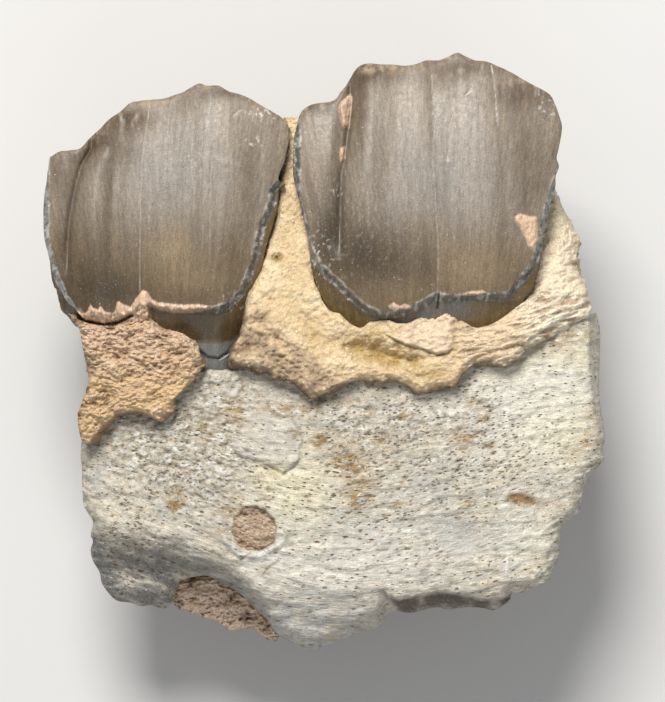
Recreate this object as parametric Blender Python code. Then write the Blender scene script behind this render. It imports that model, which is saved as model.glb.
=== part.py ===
"""A fossil hyracodon jaw: a broken piece of upper jaw with two molars and siltstone still on it.

The piece lies on its back, as it lies when seen from the cheek side. X runs along the tooth row,
Y from the broken bone up to the crowns, and Z from the broken back to the cheek side. Outlines and
heights are in millimetres, and the meshes are made in metres.
"""

import math

import bmesh
import bpy
from mathutils import Vector, noise

MM = 0.001

# Driving sizes, in millimetres.
FIRST_CREST = 26.4  # height of the first molar's outer wall over the floor
SECOND_CREST = 27.2  # height of the second molar's outer wall over the floor
CROWN_MIDDLE = 12.5  # where along Y the outer walls stand highest
NECK_LEVEL = 0.6  # where along Y the crowns end and the roots begin
ROOT_DEPTH = 2.5  # how far the roots go down into the bone
CHEEK_HEIGHT = 23.0  # height of the bone's cheek surface over the floor
LEDGE = 1.9  # how far the siltstone crust stands over the bone
MATRIX_BACK = 6.5  # lowest siltstone between the teeth
EDGE_FALL = 2.2  # how far the bone's cheek surface rounds over at its broken edge
HOLLOW_HEIGHT = 15.3  # height of the siltstone in the lower hollow
HOLLOW_DEPTH = 9.0
PLUG_CENTRE = (-6.4, -16.1)
PLUG_RADIUS = 2.05
PLUG_DEPTH = 5.0
PLUG_SUNK = 0.35  # how far the plug's face lies under the bone round it
GAP = 0.4  # room left round a piece that sits in another
FLAT_CENTRE = (0.5, -8.5)  # the flat spot on the back that the fossil rests on
FLAT_REACH = (12.0, 7.0)

# Outlines seen from the cheek side. Each runs from left to right, or from the bone to the crowns.
FIRST_LEFT = [(-20.4, -1.9), (-21.4, 2.0), (-23.3, 4.5), (-24.4, 6.5), (-25.1, 9.0), (-25.5, 11.5),
              (-25.4, 14.4), (-24.9, 17.7)]
FIRST_TOP = [(-24.9, 17.7), (-24.0, 18.2), (-22.1, 18.5), (-20.4, 20.2), (-17.6, 22.6), (-15.8, 22.9),
             (-12.8, 23.6), (-11.3, 24.4), (-9.6, 24.2), (-7.6, 23.4), (-4.0, 21.4), (-3.4, 21.0)]
FIRST_RIGHT = [(-8.4, -1.9), (-7.9, 0.4), (-7.2, 4.5), (-6.1, 6.5), (-5.3, 9.4), (-4.0, 14.8),
               (-4.0, 16.1), (-3.2, 19.2), (-3.4, 21.0)]
SECOND_LEFT = [(3.2, -1.9), (0.9, 2.6), (-0.5, 5.6), (-1.2, 8.3), (-2.2, 12.8), (-2.8, 16.1),
               (-2.7, 19.5), (-2.3, 21.3)]
SECOND_TOP = [(-2.3, 21.3), (-1.0, 22.5), (1.1, 23.0), (3.0, 25.8), (3.9, 26.2), (7.5, 26.0),
              (11.2, 26.8), (12.2, 27.2), (13.7, 26.5), (15.7, 26.0), (19.7, 23.7), (21.0, 22.5)]
SECOND_RIGHT = [(15.4, -1.9), (17.0, 3.2), (18.9, 5.6), (19.7, 8.5), (20.2, 11.5), (21.0, 15.0),
                (21.3, 18.0), (21.4, 20.3), (21.0, 22.5)]
BONE_LEFT = [(-19.6, -21.9), (-21.0, -19.0), (-21.2, -16.6), (-21.0, -15.4), (-21.7, -14.4),
             (-22.0, -11.0), (-22.1, -8.9), (-21.6, -5.5), (-21.2, -2.0), (-20.8, 1.2)]
BONE_RIGHT = [(20.5, -20.7), (21.4, -18.0), (21.5, -16.0), (23.2, -14.5), (23.9, -11.5), (25.5, -9.8),
              (25.5, -6.6), (25.0, -3.5), (25.0, 1.1), (24.4, 3.6)]
BONE_TOP = [(-20.8, 1.2), (-12.0, 1.6), (-5.0, 1.0), (1.0, 1.4), (8.0, 1.8), (15.0, 1.5), (19.0, 1.9),
            (22.5, 2.8), (24.4, 3.6)]
BONE_BOTTOM = [(-19.6, -21.9), (-17.5, -22.8), (-14.2, -23.2), (-13.3, -20.9), (-10.8, -20.3),
               (-8.7, -21.3), (-5.8, -23.7), (-4.3, -25.6), (-1.5, -27.1), (0.5, -26.5),
               (4.6, -25.1), (5.8, -23.7), (11.2, -23.4), (15.3, -23.5), (17.0, -21.9), (20.5, -20.7)]
CRUST_LEFT = [(-21.5, -8.3), (-22.3, -7.1), (-22.3, -5.4), (-21.5, -2.7), (-22.0, 0.6), (-22.4, 3.2)]
CRUST_TOP = [(-22.4, 3.2), (-21.2, 4.4), (-20.2, 4.0), (-18.7, 4.5), (-17.6, 4.2), (-16.5, 5.4)]
CRUST_RIGHT = [(-13.4, -5.2), (-13.3, -3.9), (-11.2, -1.6), (-11.0, -0.6), (-12.0, 1.0), (-15.4, 3.4),
               (-16.5, 5.4)]
CRUST_BOTTOM = [(-21.5, -8.3), (-19.6, -6.5), (-17.7, -5.6), (-16.2, -5.6), (-14.8, -6.3),
                (-13.4, -5.2)]
FILL_INNER = [(0.6, 20.2), (0.6, 15.0), (1.6, 9.0), (2.4, 5.0), (3.4, 2.4), (6.7, 2.7), (8.6, 3.2),
              (10.3, 4.2), (12.4, 3.4), (14.0, 2.4), (15.6, 4.0), (17.0, 7.0), (18.0, 11.0),
              (19.6, 13.9)]
FILL_OUTER = [(-5.2, 20.2), (-6.4, 15.0), (-8.4, 9.0), (-8.7, 4.0), (-8.5, 0.2), (-8.4, -1.2),
              (-5.9, -1.7), (-3.3, -2.7), (-0.5, -4.4), (1.7, -3.2), (3.2, -2.5), (6.8, -2.8),
              (8.5, -3.8), (11.5, -3.5), (13.3, -1.4), (16.2, -1.4), (18.6, 0.3), (20.8, 1.7),
              (23.9, 4.5), (23.1, 7.6), (23.4, 10.2), (21.9, 13.0), (21.5, 14.2)]
HOLLOW_LEFT = [(-13.7, -22.5), (-13.9, -20.6)]
HOLLOW_RIGHT = [(-4.2, -26.0), (-5.0, -22.6)]
HOLLOW_TOP = [(-13.9, -20.6), (-10.8, -19.4), (-8.0, -20.2), (-5.0, -22.6)]
HOLLOW_BOTTOM = [(-13.7, -22.5), (-11.5, -23.7), (-8.8, -25.2), (-7.0, -24.9), (-5.1, -26.0),
                 (-4.2, -26.0)]

# Where the groove behind each tooth's front corner rib runs: pairs of Y and X.
FIRST_GROOVE = [(9.7, -23.3), (12.0, -23.1), (15.6, -22.4), (18.5, -21.1)]
SECOND_GROOVE = [(10.2, 1.4), (16.1, 1.6), (23.4, 2.4)]
# The brow of the bone, below which its lower left corner falls away: pairs of X and Y.
BROW = [(-22.0, -15.4), (-13.0, -16.6), (-8.5, -18.7), (-5.6, -21.6), (-4.3, -25.6), (-2.0, -32.0)]


def smooth(t):
    """0 below 0, 1 above 1, and an S-shaped rise between."""
    t = min(max(t, 0.0), 1.0)
    return t * t * (3 - 2 * t)


def bell(t):
    """1 at 0, falling off on both sides."""
    return math.exp(-t * t)


def read_off(pairs, at):
    """The second number of the pairs, in straight stretches, where the first one is `at`."""
    if at <= pairs[0][0]:
        return pairs[0][1]
    for (a, low), (b, high) in zip(pairs, pairs[1:]):
        if at <= b:
            return low + (high - low) * (at - a) / (b - a)
    return pairs[-1][1]


def path(points):
    """A function that gives the point at a fraction of the length along the outline."""
    ends = [Vector(point) for point in points]
    lengths = [(b - a).length for a, b in zip(ends, ends[1:])]
    total = sum(lengths)

    def at(t):
        left = t * total
        for a, b, length in zip(ends, ends[1:], lengths):
            if left <= length:
                return a.lerp(b, left / length)
            left -= length
        return ends[-1]

    return at


def patch(left, right, bottom, top):
    """A function that spreads the unit square over the area between four outlines."""
    left, right, bottom, top = path(left), path(right), path(bottom), path(top)

    def at(u, v):
        across = left(v).lerp(right(v), u)
        along = bottom(u).lerp(top(u), v)
        corners = bottom(0).lerp(bottom(1), u).lerp(top(0).lerp(top(1), u), v)
        return across + along - corners

    return at


def lumps(x, y, z, reach, size):
    """Rough swells: up to about `size`, with about `reach` from one swell to the next."""
    return size * noise.noise(Vector((x, y, z)) * (2 / reach))


def new_object(name, mesh):
    obj = bpy.data.objects.new(name, mesh)
    bpy.context.scene.collection.objects.link(obj)
    return obj


def block(name, cells, place, finish):
    """The skin of a block of cells, with each corner put where place(u, v, w) says."""
    nu, nv, nw = cells
    bm = bmesh.new()
    corners = {}
    for i in range(nu + 1):
        for j in range(nv + 1):
            for k in range(nw + 1):
                if i in (0, nu) or j in (0, nv) or k in (0, nw):
                    corners[i, j, k] = bm.verts.new(place(i / nu, j / nv, k / nw) * MM)

    def quad(*keys):
        bm.faces.new([corners[key] for key in keys])

    for i in range(nu):
        for j in range(nv):
            for k in (0, nw):
                quad((i, j, k), (i + 1, j, k), (i + 1, j + 1, k), (i, j + 1, k))
    for i in range(nu):
        for k in range(nw):
            for j in (0, nv):
                quad((i, j, k), (i + 1, j, k), (i + 1, j, k + 1), (i, j, k + 1))
    for j in range(nv):
        for k in range(nw):
            for i in (0, nu):
                quad((i, j, k), (i, j + 1, k), (i, j + 1, k + 1), (i, j, k + 1))
    bmesh.ops.recalc_face_normals(bm, faces=bm.faces)
    return finished(name, bm, finish)


def finished(name, bm, finish):
    mesh = bpy.data.meshes.new(name)
    bm.to_mesh(mesh)
    bm.free()
    mesh.shade_smooth()
    mesh.set_sharp_from_angle(angle=math.radians(50))
    if finish:
        mesh.materials.append(finish)
    return new_object(name, mesh)


def hidden(cutter):
    cutter.hide_render = True
    cutter.display_type = "WIRE"
    return cutter


def grown(obj, by=GAP):
    """A hidden copy of the object, with every side pushed out, to cut its seat in another."""
    bm = bmesh.new()
    bm.from_mesh(obj.data)
    bm.normal_update()
    for vert in bm.verts:
        vert.co += vert.normal * by * MM
    mesh = bpy.data.meshes.new(obj.name + "_seat")
    bm.to_mesh(mesh)
    bm.free()
    return hidden(new_object(obj.name + "_seat", mesh))


def seat(obj, *cutters):
    for cutter in cutters:
        cut = obj.modifiers.new("seat for " + cutter.name, "BOOLEAN")
        cut.operation = "DIFFERENCE"
        cut.solver = "EXACT"
        cut.object = cutter


def finish_of(name, colour, roughness):
    material = bpy.data.materials.new(name)
    material.use_nodes = True
    shader = material.node_tree.nodes["Principled BSDF"]
    shader.inputs["Base Color"].default_value = (*colour, 1)
    shader.inputs["Roughness"].default_value = roughness
    shader.inputs["Metallic"].default_value = 0
    return material


def crown_relief(u, w):
    """How far the chewing surface dips under the outer wall's edge, as a share of the crown's height.

    The outer wall stays high. Two cross ridges run from it to the tongue side, with a valley between
    them that opens on the tongue side, and a pit behind the second ridge.
    """
    behind_wall = smooth((0.86 - w) / 0.12)
    slope = 0.05 + 0.18 * (1 - w)
    valley = 0.28 * bell((u - 0.50) / 0.10) * smooth((0.80 - w) / 0.20)
    pit = 0.16 * bell((u - 0.88) / 0.08) * bell((w - 0.55) / 0.18)
    front_shelf = 0.22 * smooth((0.12 - u) / 0.10)
    return behind_wall * (slope + valley + pit + front_shelf)


def tongue_side(u, v):
    """Height of the tooth's back over the floor: two rounded lobes with a cleft between them."""
    swell = 3.4 * ((v - 0.45) / 0.55) ** 2
    cleft = 3.6 * bell((u - 0.51) / 0.10) * smooth((v - 0.15) / 0.4)
    corners = 5.0 * abs(2 * u - 1) ** 5
    return max(0.0, swell + cleft + corners - 0.15)


def outer_wall(u, v, x, y, crest, groove, left_skirt):
    """Height of the tooth's cheek side: a bulging wall with a rim, and a lower skirt beyond it."""
    bulge = crest - 2.0 * ((y - CROWN_MIDDLE) / 13.0) ** 2 - 1.1 * abs(2 * u - 1) ** 4
    groove_x = read_off(groove, y)
    furrow = 0.9 * bell((x - groove_x) / 0.9) * smooth((y - 7) / 6)
    rib = 0.35 * bell((x - groove_x - 2.6) / 1.6) * smooth((y - 7) / 6)
    below = smooth((0.21 - v) / 0.05)
    beside = smooth((u - 0.93) / 0.05) * smooth((0.68 - v) / 0.06)
    beside += left_skirt * smooth((0.07 - u) / 0.05) * smooth((0.62 - v) / 0.06)
    skirt = 0.9 * max(below, min(beside, 1.0)) + 0.38 * max(0.0, 4.6 - y)
    return bulge - furrow + rib - skirt


def tooth(name, outlines, cells, crest, groove, left_skirt, finish):
    front = patch(*outlines)
    middle = (front(0, 0.5).x + front(1, 0.5).x) / 2
    root_end = NECK_LEVEL - ROOT_DEPTH

    def place(u, v, w):
        x, y = front(u, v)
        x = middle + (x - middle) * (1 - 0.25 * (1 - w) ** 1.2)
        wall = outer_wall(u, v, x, y, crest, groove, left_skirt)
        y = root_end + (y - root_end) * (1 - crown_relief(u, w))
        back = tongue_side(u, v)
        return Vector((x, y, back + (wall - back) * w))

    return block(name, cells, place, finish)


def cheek(x, y):
    """Height of the bone's cheek surface, which falls away below the brow and towards its lower edge."""
    height = CHEEK_HEIGHT - 0.0022 * (x - 5) ** 2 - 0.004 * (y + 9) ** 2
    height -= 4.4 * smooth(0.8 * (read_off(BROW, x) - y) / 3.8)
    height -= 2.4 * smooth((-20.5 - y) / 6.5)
    return height + lumps(x, y, 0, 7.0, 0.35)


def broken_back(x, y):
    """Height of the bone's broken back over the floor, flat in the middle where the fossil rests."""
    reach = math.hypot((x - FLAT_CENTRE[0]) / FLAT_REACH[0], (y - FLAT_CENTRE[1]) / FLAT_REACH[1])
    rise = 7.5 * (reach - 1.0) ** 0.8 if reach > 1 else 0.0
    return min(rise, 9.0) * (1 + lumps(x, y, 5, 6.0, 0.35))


def bone(finish):
    front = patch(BONE_LEFT, BONE_RIGHT, BONE_BOTTOM, BONE_TOP)
    middle = Vector((1.0, -9.5))

    def place(u, v, w):
        spot = front(u, v)
        rim = min(u * 44, (1 - u) * 44, v * 24, (1 - v) * 24)
        top = cheek(*spot) - EDGE_FALL * max(0.0, 1 - rim / 1.5) ** 2
        inwards = (middle - spot) * 0.14 * (1 - w) ** 1.5
        knobs = (middle - spot).normalized() * lumps(spot.x, spot.y, 20 * w, 6.5, 1.6)
        spot = spot + inwards + knobs * (4 * w * (1 - w) * max(0.0, 1 - rim / 3))
        back = broken_back(*spot)
        return Vector((*spot, back + (top - back) * w))

    return block("maxilla_bone", (28, 16, 4), place, finish)


def crust_over_bone(finish):
    front = patch(CRUST_LEFT, CRUST_RIGHT, CRUST_BOTTOM, CRUST_TOP)

    def place(u, v, w):
        x, y = front(u, v)
        rim = min(u, 1 - u, v, 1 - v)
        top = CHEEK_HEIGHT + LEDGE - 0.6 * smooth((-2 - y) / 5) + lumps(x, y, 3, 3.5, 0.7)
        top -= 0.9 * max(0.0, 1 - rim * 9)
        under = CHEEK_HEIGHT - 5.5
        x += (1 - w) * (1.2 + lumps(y, x, 7, 4.0, 0.8)) * (1 - u)
        return Vector((x, y, under + (top - under) * w))

    return block("matrix_under_first_molar", (10, 11, 3), place, finish)


def fill_between_teeth(finish):
    inner, outer = path(FILL_INNER), path(FILL_OUTER)

    def place(u, v, w):
        right = smooth((outer(u).x - 17) / 6)
        x, y = inner(u).lerp(outer(u), v * (1 - 0.35 * (1 - w) * right))
        arm = smooth((y - 5) / 8)
        dip = 0.5 * bell((x - 6) / 3.5) * bell((y + 0.5) / 1.2)
        top = CHEEK_HEIGHT + LEDGE - 1.5 * arm - 1.2 * right - dip + lumps(x, y, 3, 4.0, 0.5)
        top -= 0.8 * smooth((v - 0.75) / 0.25) * (1 + 1.6 * right)
        back = MATRIX_BACK + 0.25 * max(0.0, y - 8) + lumps(x, y, 9, 5.0, 2.2)
        under = back + (CHEEK_HEIGHT - 4.5 - back) * smooth((3.0 - y) / 1.5)
        y -= (1 - w) * max(0.0, y - 3) * (0.45 + lumps(x, 6 * w, 8, 7.0, 0.06))
        return Vector((x, y, under + (top - under) * w))

    return block("matrix_around_second_molar", (33, 4, 3), place, finish)


def fill_in_hollow(finish):
    front = patch(HOLLOW_LEFT, HOLLOW_RIGHT, HOLLOW_BOTTOM, HOLLOW_TOP)

    def place(u, v, w):
        x, y = front(u, v)
        snout = (1 - v) ** 2
        ends = abs(2 * u - 1) ** 3
        top = HOLLOW_HEIGHT - 2.4 * snout - 1.4 * ends + lumps(x, y, 3, 3.0, 0.7)
        under = HOLLOW_HEIGHT - HOLLOW_DEPTH + 2.2 * snout + 3.0 * ends + lumps(x, y, 6, 3.0, 0.8)
        y += snout * (0.9 * (2 * w - 1) ** 2 * (w < 0.5) + lumps(x, 5 * w, 2, 3.0, 0.5) * (w < 1))
        return Vector((x, y, under + (top - under) * w))

    return block("matrix_in_lower_hollow", (10, 4, 4), place, finish)


def round_stack(rows, rough):
    """A closed stack of oval rings round the foramen's centre, each row a radius and a height."""
    sides = 16
    bm = bmesh.new()
    rings = []
    for radius, height in rows:
        ring = []
        for step in range(sides):
            turn = math.tau * step / sides
            x = PLUG_CENTRE[0] + 1.06 * radius * math.cos(turn)
            y = PLUG_CENTRE[1] + 0.97 * radius * math.sin(turn)
            ring.append(bm.verts.new(Vector((x, y, height + lumps(x, y, 2, 2.0, rough))) * MM))
        rings.append(ring)
    for low, high in zip(rings, rings[1:]):
        for n in range(sides):
            m = (n + 1) % sides
            bm.faces.new((low[n], low[m], high[m], high[n]))
    bm.faces.new(rings[0])
    bm.faces.new(rings[-1])
    bmesh.ops.recalc_face_normals(bm, faces=bm.faces)
    return bm


def plug_in_foramen(finish):
    """A round plug, a little oval, with its face just under the bone round it."""
    face = cheek(*PLUG_CENTRE) - PLUG_SUNK
    rows = [(PLUG_RADIUS * 0.85, face - PLUG_DEPTH)]
    rows += [(PLUG_RADIUS * share, face) for share in (1.0, 0.66, 0.33)]
    return finished("foramen_plug", round_stack(rows, 0.3), finish)


def foramen():
    """The hole that the plug sits in, open above the bone."""
    face = cheek(*PLUG_CENTRE) - PLUG_SUNK
    rows = [(PLUG_RADIUS * 0.85 + GAP, face - PLUG_DEPTH - GAP), (PLUG_RADIUS + GAP, face)]
    rows += [(PLUG_RADIUS + 1.6 * GAP, face + 4)]
    return hidden(finished("foramen", round_stack(rows, 0), None))


def clear_scene():
    for obj in list(bpy.data.objects):
        bpy.data.objects.remove(obj, do_unlink=True)


def main():
    clear_scene()
    bone_finish = finish_of("weathered bone", (0.60, 0.56, 0.46), 0.85)
    enamel = finish_of("brown enamel", (0.33, 0.27, 0.20), 0.38)
    tan = finish_of("tan siltstone", (0.56, 0.40, 0.24), 0.95)
    yellow = finish_of("yellow siltstone", (0.78, 0.62, 0.36), 0.95)
    pink = finish_of("pinkish siltstone", (0.38, 0.28, 0.20), 0.95)

    first = tooth(
        "first_molar",
        (FIRST_LEFT, FIRST_RIGHT, [FIRST_LEFT[0], FIRST_RIGHT[0]], FIRST_TOP),
        (15, 12, 8), FIRST_CREST, FIRST_GROOVE, 0.3, enamel,
    )
    second = tooth(
        "second_molar",
        (SECOND_LEFT, SECOND_RIGHT, [SECOND_LEFT[0], SECOND_RIGHT[0]], SECOND_TOP),
        (15, 12, 8), SECOND_CREST, SECOND_GROOVE, 1.0, enamel,
    )
    jaw = bone(bone_finish)
    crust = crust_over_bone(tan)
    fill = fill_between_teeth(yellow)
    hollow = fill_in_hollow(pink)
    plug_in_foramen(tan)

    first_seat, second_seat, jaw_seat = grown(first), grown(second), grown(jaw)
    seat(crust, first_seat, jaw_seat)
    seat(fill, first_seat, second_seat, jaw_seat)
    seat(jaw, first_seat, second_seat, grown(hollow), foramen())


main()
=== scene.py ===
import itertools

import bpy
import numpy as np
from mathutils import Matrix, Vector


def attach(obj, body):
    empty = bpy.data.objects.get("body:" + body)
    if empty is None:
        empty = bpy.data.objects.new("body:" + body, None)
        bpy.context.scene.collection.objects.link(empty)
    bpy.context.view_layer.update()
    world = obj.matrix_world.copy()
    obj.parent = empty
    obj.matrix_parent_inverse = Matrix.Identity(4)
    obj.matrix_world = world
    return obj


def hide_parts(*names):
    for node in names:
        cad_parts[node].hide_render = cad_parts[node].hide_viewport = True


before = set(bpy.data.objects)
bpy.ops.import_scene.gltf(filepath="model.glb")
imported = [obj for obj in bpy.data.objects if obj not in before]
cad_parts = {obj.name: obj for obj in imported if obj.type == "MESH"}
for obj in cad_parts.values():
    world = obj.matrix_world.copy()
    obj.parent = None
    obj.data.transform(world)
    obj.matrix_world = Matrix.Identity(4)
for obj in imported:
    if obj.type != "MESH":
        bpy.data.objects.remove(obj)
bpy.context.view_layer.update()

# Lengths below are in millimetres unless a note says otherwise. X runs along the tooth row,
# Y from the broken bone up to the crowns, and Z from the back to the cheek side.
mm = 0.001

# The camera hangs straight over this place, this high over the plane of the cheek side, which is this
# high over the floor. The picture's height takes in this much of that plane
view = {"over": (0.77, 0.09), "height": 600, "frontPlane": 24.5, "takesIn": 63.8}


# Curves and noise, all on whole arrays

def smooth(t):
    # 0 below 0, 1 above 1, and an S-shaped rise between: 3t² - 2t³
    t = np.clip(t, 0.0, 1.0)
    return t * t * (3 - 2 * t)


def bell(t):
    # 1 at 0, falling off on both sides as e to the power of minus t squared
    return np.exp(-t * t)


slopes = np.array([(a, b, 0) for a in (1, -1) for b in (1, -1)]
                  + [(a, 0, b) for a in (1, -1) for b in (1, -1)]
                  + [(0, a, b) for a in (1, -1) for b in (1, -1)], float)


def scramble(i, j, k, seed):
    # three whole numbers and a seed, multiplied and folded into one number below two to the 32nd
    low32 = 0xFFFFFFFF
    n = (i * 374761393 + j * 668265263 + k * 1103515245 + seed * 974634777) & low32
    n = ((n ^ (n >> 13)) * 1274126177) & low32
    n = ((n ^ (n >> 16)) * 1103515245) & low32
    return n ^ (n >> 15)


def noise(x, y, z=0.0, seed=0):
    # a random slope at each whole-number corner, blended between the corners with an S-curve
    x, y, z = np.broadcast_arrays(np.asarray(x, float), y, z)
    i, j, k = (np.floor(a).astype(np.int64) for a in (x, y, z))
    fx, fy, fz = x - i, y - j, z - k
    sx, sy, sz = (f * f * f * (f * (f * 6 - 15) + 10) for f in (fx, fy, fz))
    total = 0.0
    for a, b, c in itertools.product((0, 1), repeat=3):
        slope = slopes[scramble(i + a, j + b, k + c, seed) % 12]
        rise = slope[..., 0] * (fx - a) + slope[..., 1] * (fy - b) + slope[..., 2] * (fz - c)
        share = (sx if a else 1 - sx) * (sy if b else 1 - sy) * (sz if c else 1 - sz)
        total = total + rise * share
    return total


def rough(x, y, z=0.0, octaves=4, seed=0, gain=0.5):
    # noise at ever finer sizes, each `gain` times as strong as the one before
    total, size, scale = 0.0, 1.0, 1.0
    for n in range(octaves):
        total = total + size * noise(x * scale + 7.3 * n, y * scale + 3.1 * n, z * scale, seed + n)
        size, scale = size * gain, scale * 2.03
    return total


def ridged(x, y, z=0.0, octaves=3, seed=0):
    # like rough, but each size is folded at zero, so its creases stand up as sharp ridges
    total, size, scale = 0.0, 1.0, 1.0
    for n in range(octaves):
        crest = 1 - 2 * np.abs(noise(x * scale + 5.7 * n, y * scale + 9.2 * n, z * scale, seed + n))
        total = total + size * crest
        size, scale = size * 0.5, scale * 2.1
    return total


def scattered(sides, seed=0):
    # one point at a random place in each unit cell: the distance to the nearest point, and that
    # point's own random number. `sides` holds the coordinates, axis by axis
    sides = [np.asarray(side, float) for side in sides]
    cells = [np.floor(side).astype(np.int64) for side in sides]
    near = np.full(sides[0].shape, 9.0)
    own = np.zeros(near.shape)
    for step in itertools.product((-1, 0, 1), repeat=len(sides)):
        cell = [c + s for c, s in zip(cells, step)]
        key = (cell + [0])[:3]
        gap = 0.0
        for axis, side in enumerate(sides):
            gap = gap + (side - cell[axis] - scramble(*key, seed + 101 * axis) / 2 ** 32) ** 2
        gap = np.sqrt(gap)
        own = np.where(gap < near, scramble(*key, seed + 977) / 2 ** 32, own)
        near = np.minimum(near, gap)
    return near, own


def crumble(x, y, seed=0):
    # crumbly stone, from about -1 to 1: lumps longer along X than Y, with sharp creases between them,
    # in two sizes, and finer crumbs over them
    wideX, wideY = x + 0.5 * noise(x * 0.7, y * 0.7, 1, seed), y + 0.5 * noise(x * 0.7, y * 0.7, 5, seed)
    big = scattered((wideX * 0.50, wideY * 0.85), seed + 1)[0]
    small = scattered((wideX * 1.15, wideY * 1.9), seed + 2)[0]
    fine = rough(x * 2.2, y * 3.4, 2.0, 4, seed + 3)
    broad = noise(x * 0.45, y * 0.6, 4.0, seed + 4)
    return 0.9 * (0.45 - big) + 0.45 * (0.45 - small) + 0.42 * fine + 0.5 * broad


def curve(points):
    # a curve through the points, each stretch a cubic that leaves its ends in the direction from
    # one neighbour to the other, given as a function of the fraction of its length
    p = np.array(points, float)
    p = np.vstack([2 * p[0] - p[1], p, 2 * p[-1] - p[-2]])
    t = np.linspace(0, 1, 10, endpoint=False)[:, None]
    parts = [0.5 * (2 * b + (c - a) * t + (2 * a - 5 * b + 4 * c - d) * t ** 2
                    + (3 * b - a - 3 * c + d) * t ** 3)
             for a, b, c, d in zip(p, p[1:], p[2:], p[3:])]
    line = np.vstack(parts + [p[-2]])
    reach = np.concatenate([[0], np.cumsum(np.hypot(*np.diff(line, axis=0).T))])
    reach /= reach[-1]
    return lambda at: (np.interp(at, reach, line[:, 0]), np.interp(at, reach, line[:, 1]))


def patch(left, right, bottom, top):
    # spreads the unit square over the area between four outlines: the blend from left to right,
    # plus the blend from bottom to top, less the blend of the four corners
    left, right, bottom, top = (curve(side) for side in (left, right, bottom, top))

    def blend(u, v, axis):
        low = bottom(0)[axis] * (1 - u) + bottom(1)[axis] * u
        high = top(0)[axis] * (1 - u) + top(1)[axis] * u
        return (left(v)[axis] * (1 - u) + right(v)[axis] * u
                + bottom(u)[axis] * (1 - v) + top(u)[axis] * v - low * (1 - v) - high * v)

    return lambda u, v: (blend(u, v, 0), blend(u, v, 1))


def distanceTo(x, y, points, closed=False):
    # the shortest distance from each place to the straight stretches between the points
    best = np.full(np.shape(x), 99.0)
    for (ax, ay), (bx, by) in zip(points, points[1:] + points[:1] if closed else points[1:]):
        dx, dy = bx - ax, by - ay
        t = np.clip(((x - ax) * dx + (y - ay) * dy) / (dx * dx + dy * dy), 0, 1)
        best = np.minimum(best, np.hypot(x - ax - t * dx, y - ay - t * dy))
    return best


def depthInside(x, y, points):
    # the distance to a closed outline, positive inside it. A place is inside where a level line
    # from it crosses the outline an odd number of times
    odd = np.zeros(np.shape(x), bool)
    for (ax, ay), (bx, by) in zip(points, points[1:] + points[:1]):
        if ay != by:
            odd ^= ((ay > y) != (by > y)) & (x < ax + (y - ay) * (bx - ax) / (by - ay))
    return np.where(odd, 1.0, -1.0) * distanceTo(x, y, points, closed=True)


def spots(x, y, places):
    # the sum of soft oval spots, each given as its middle, its two half sizes and its strength
    total = np.zeros(np.shape(x))
    for cx, cy, rx, ry, strength in places:
        total = total + strength * bell(np.hypot((x - cx) / rx, (y - cy) / ry))
    return total


def nearLine(x, y, points, wide):
    # 1 on a line of straight stretches, falling off on both sides as a bell of this half width
    return bell(distanceTo(x, y, points) / wide)


def lineUp(x, y, z):
    # The outlines are as the camera sees them, where lower places look smaller. Each place moves out
    # from under the camera by its depth below the front plane, divided by the camera's height
    grow = 1 + np.maximum(0, view["frontPlane"] - z) / view["height"]
    overX, overY = view["over"]
    return overX + (x - overX) * grow, overY + (y - overY) * grow


# Meshes

def quads(grid):
    # one four-sided face for each cell of a grid of corner numbers
    return np.stack([grid[:-1, :-1], grid[1:, :-1], grid[1:, 1:], grid[:-1, 1:]], -1).reshape(-1, 4)


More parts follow.
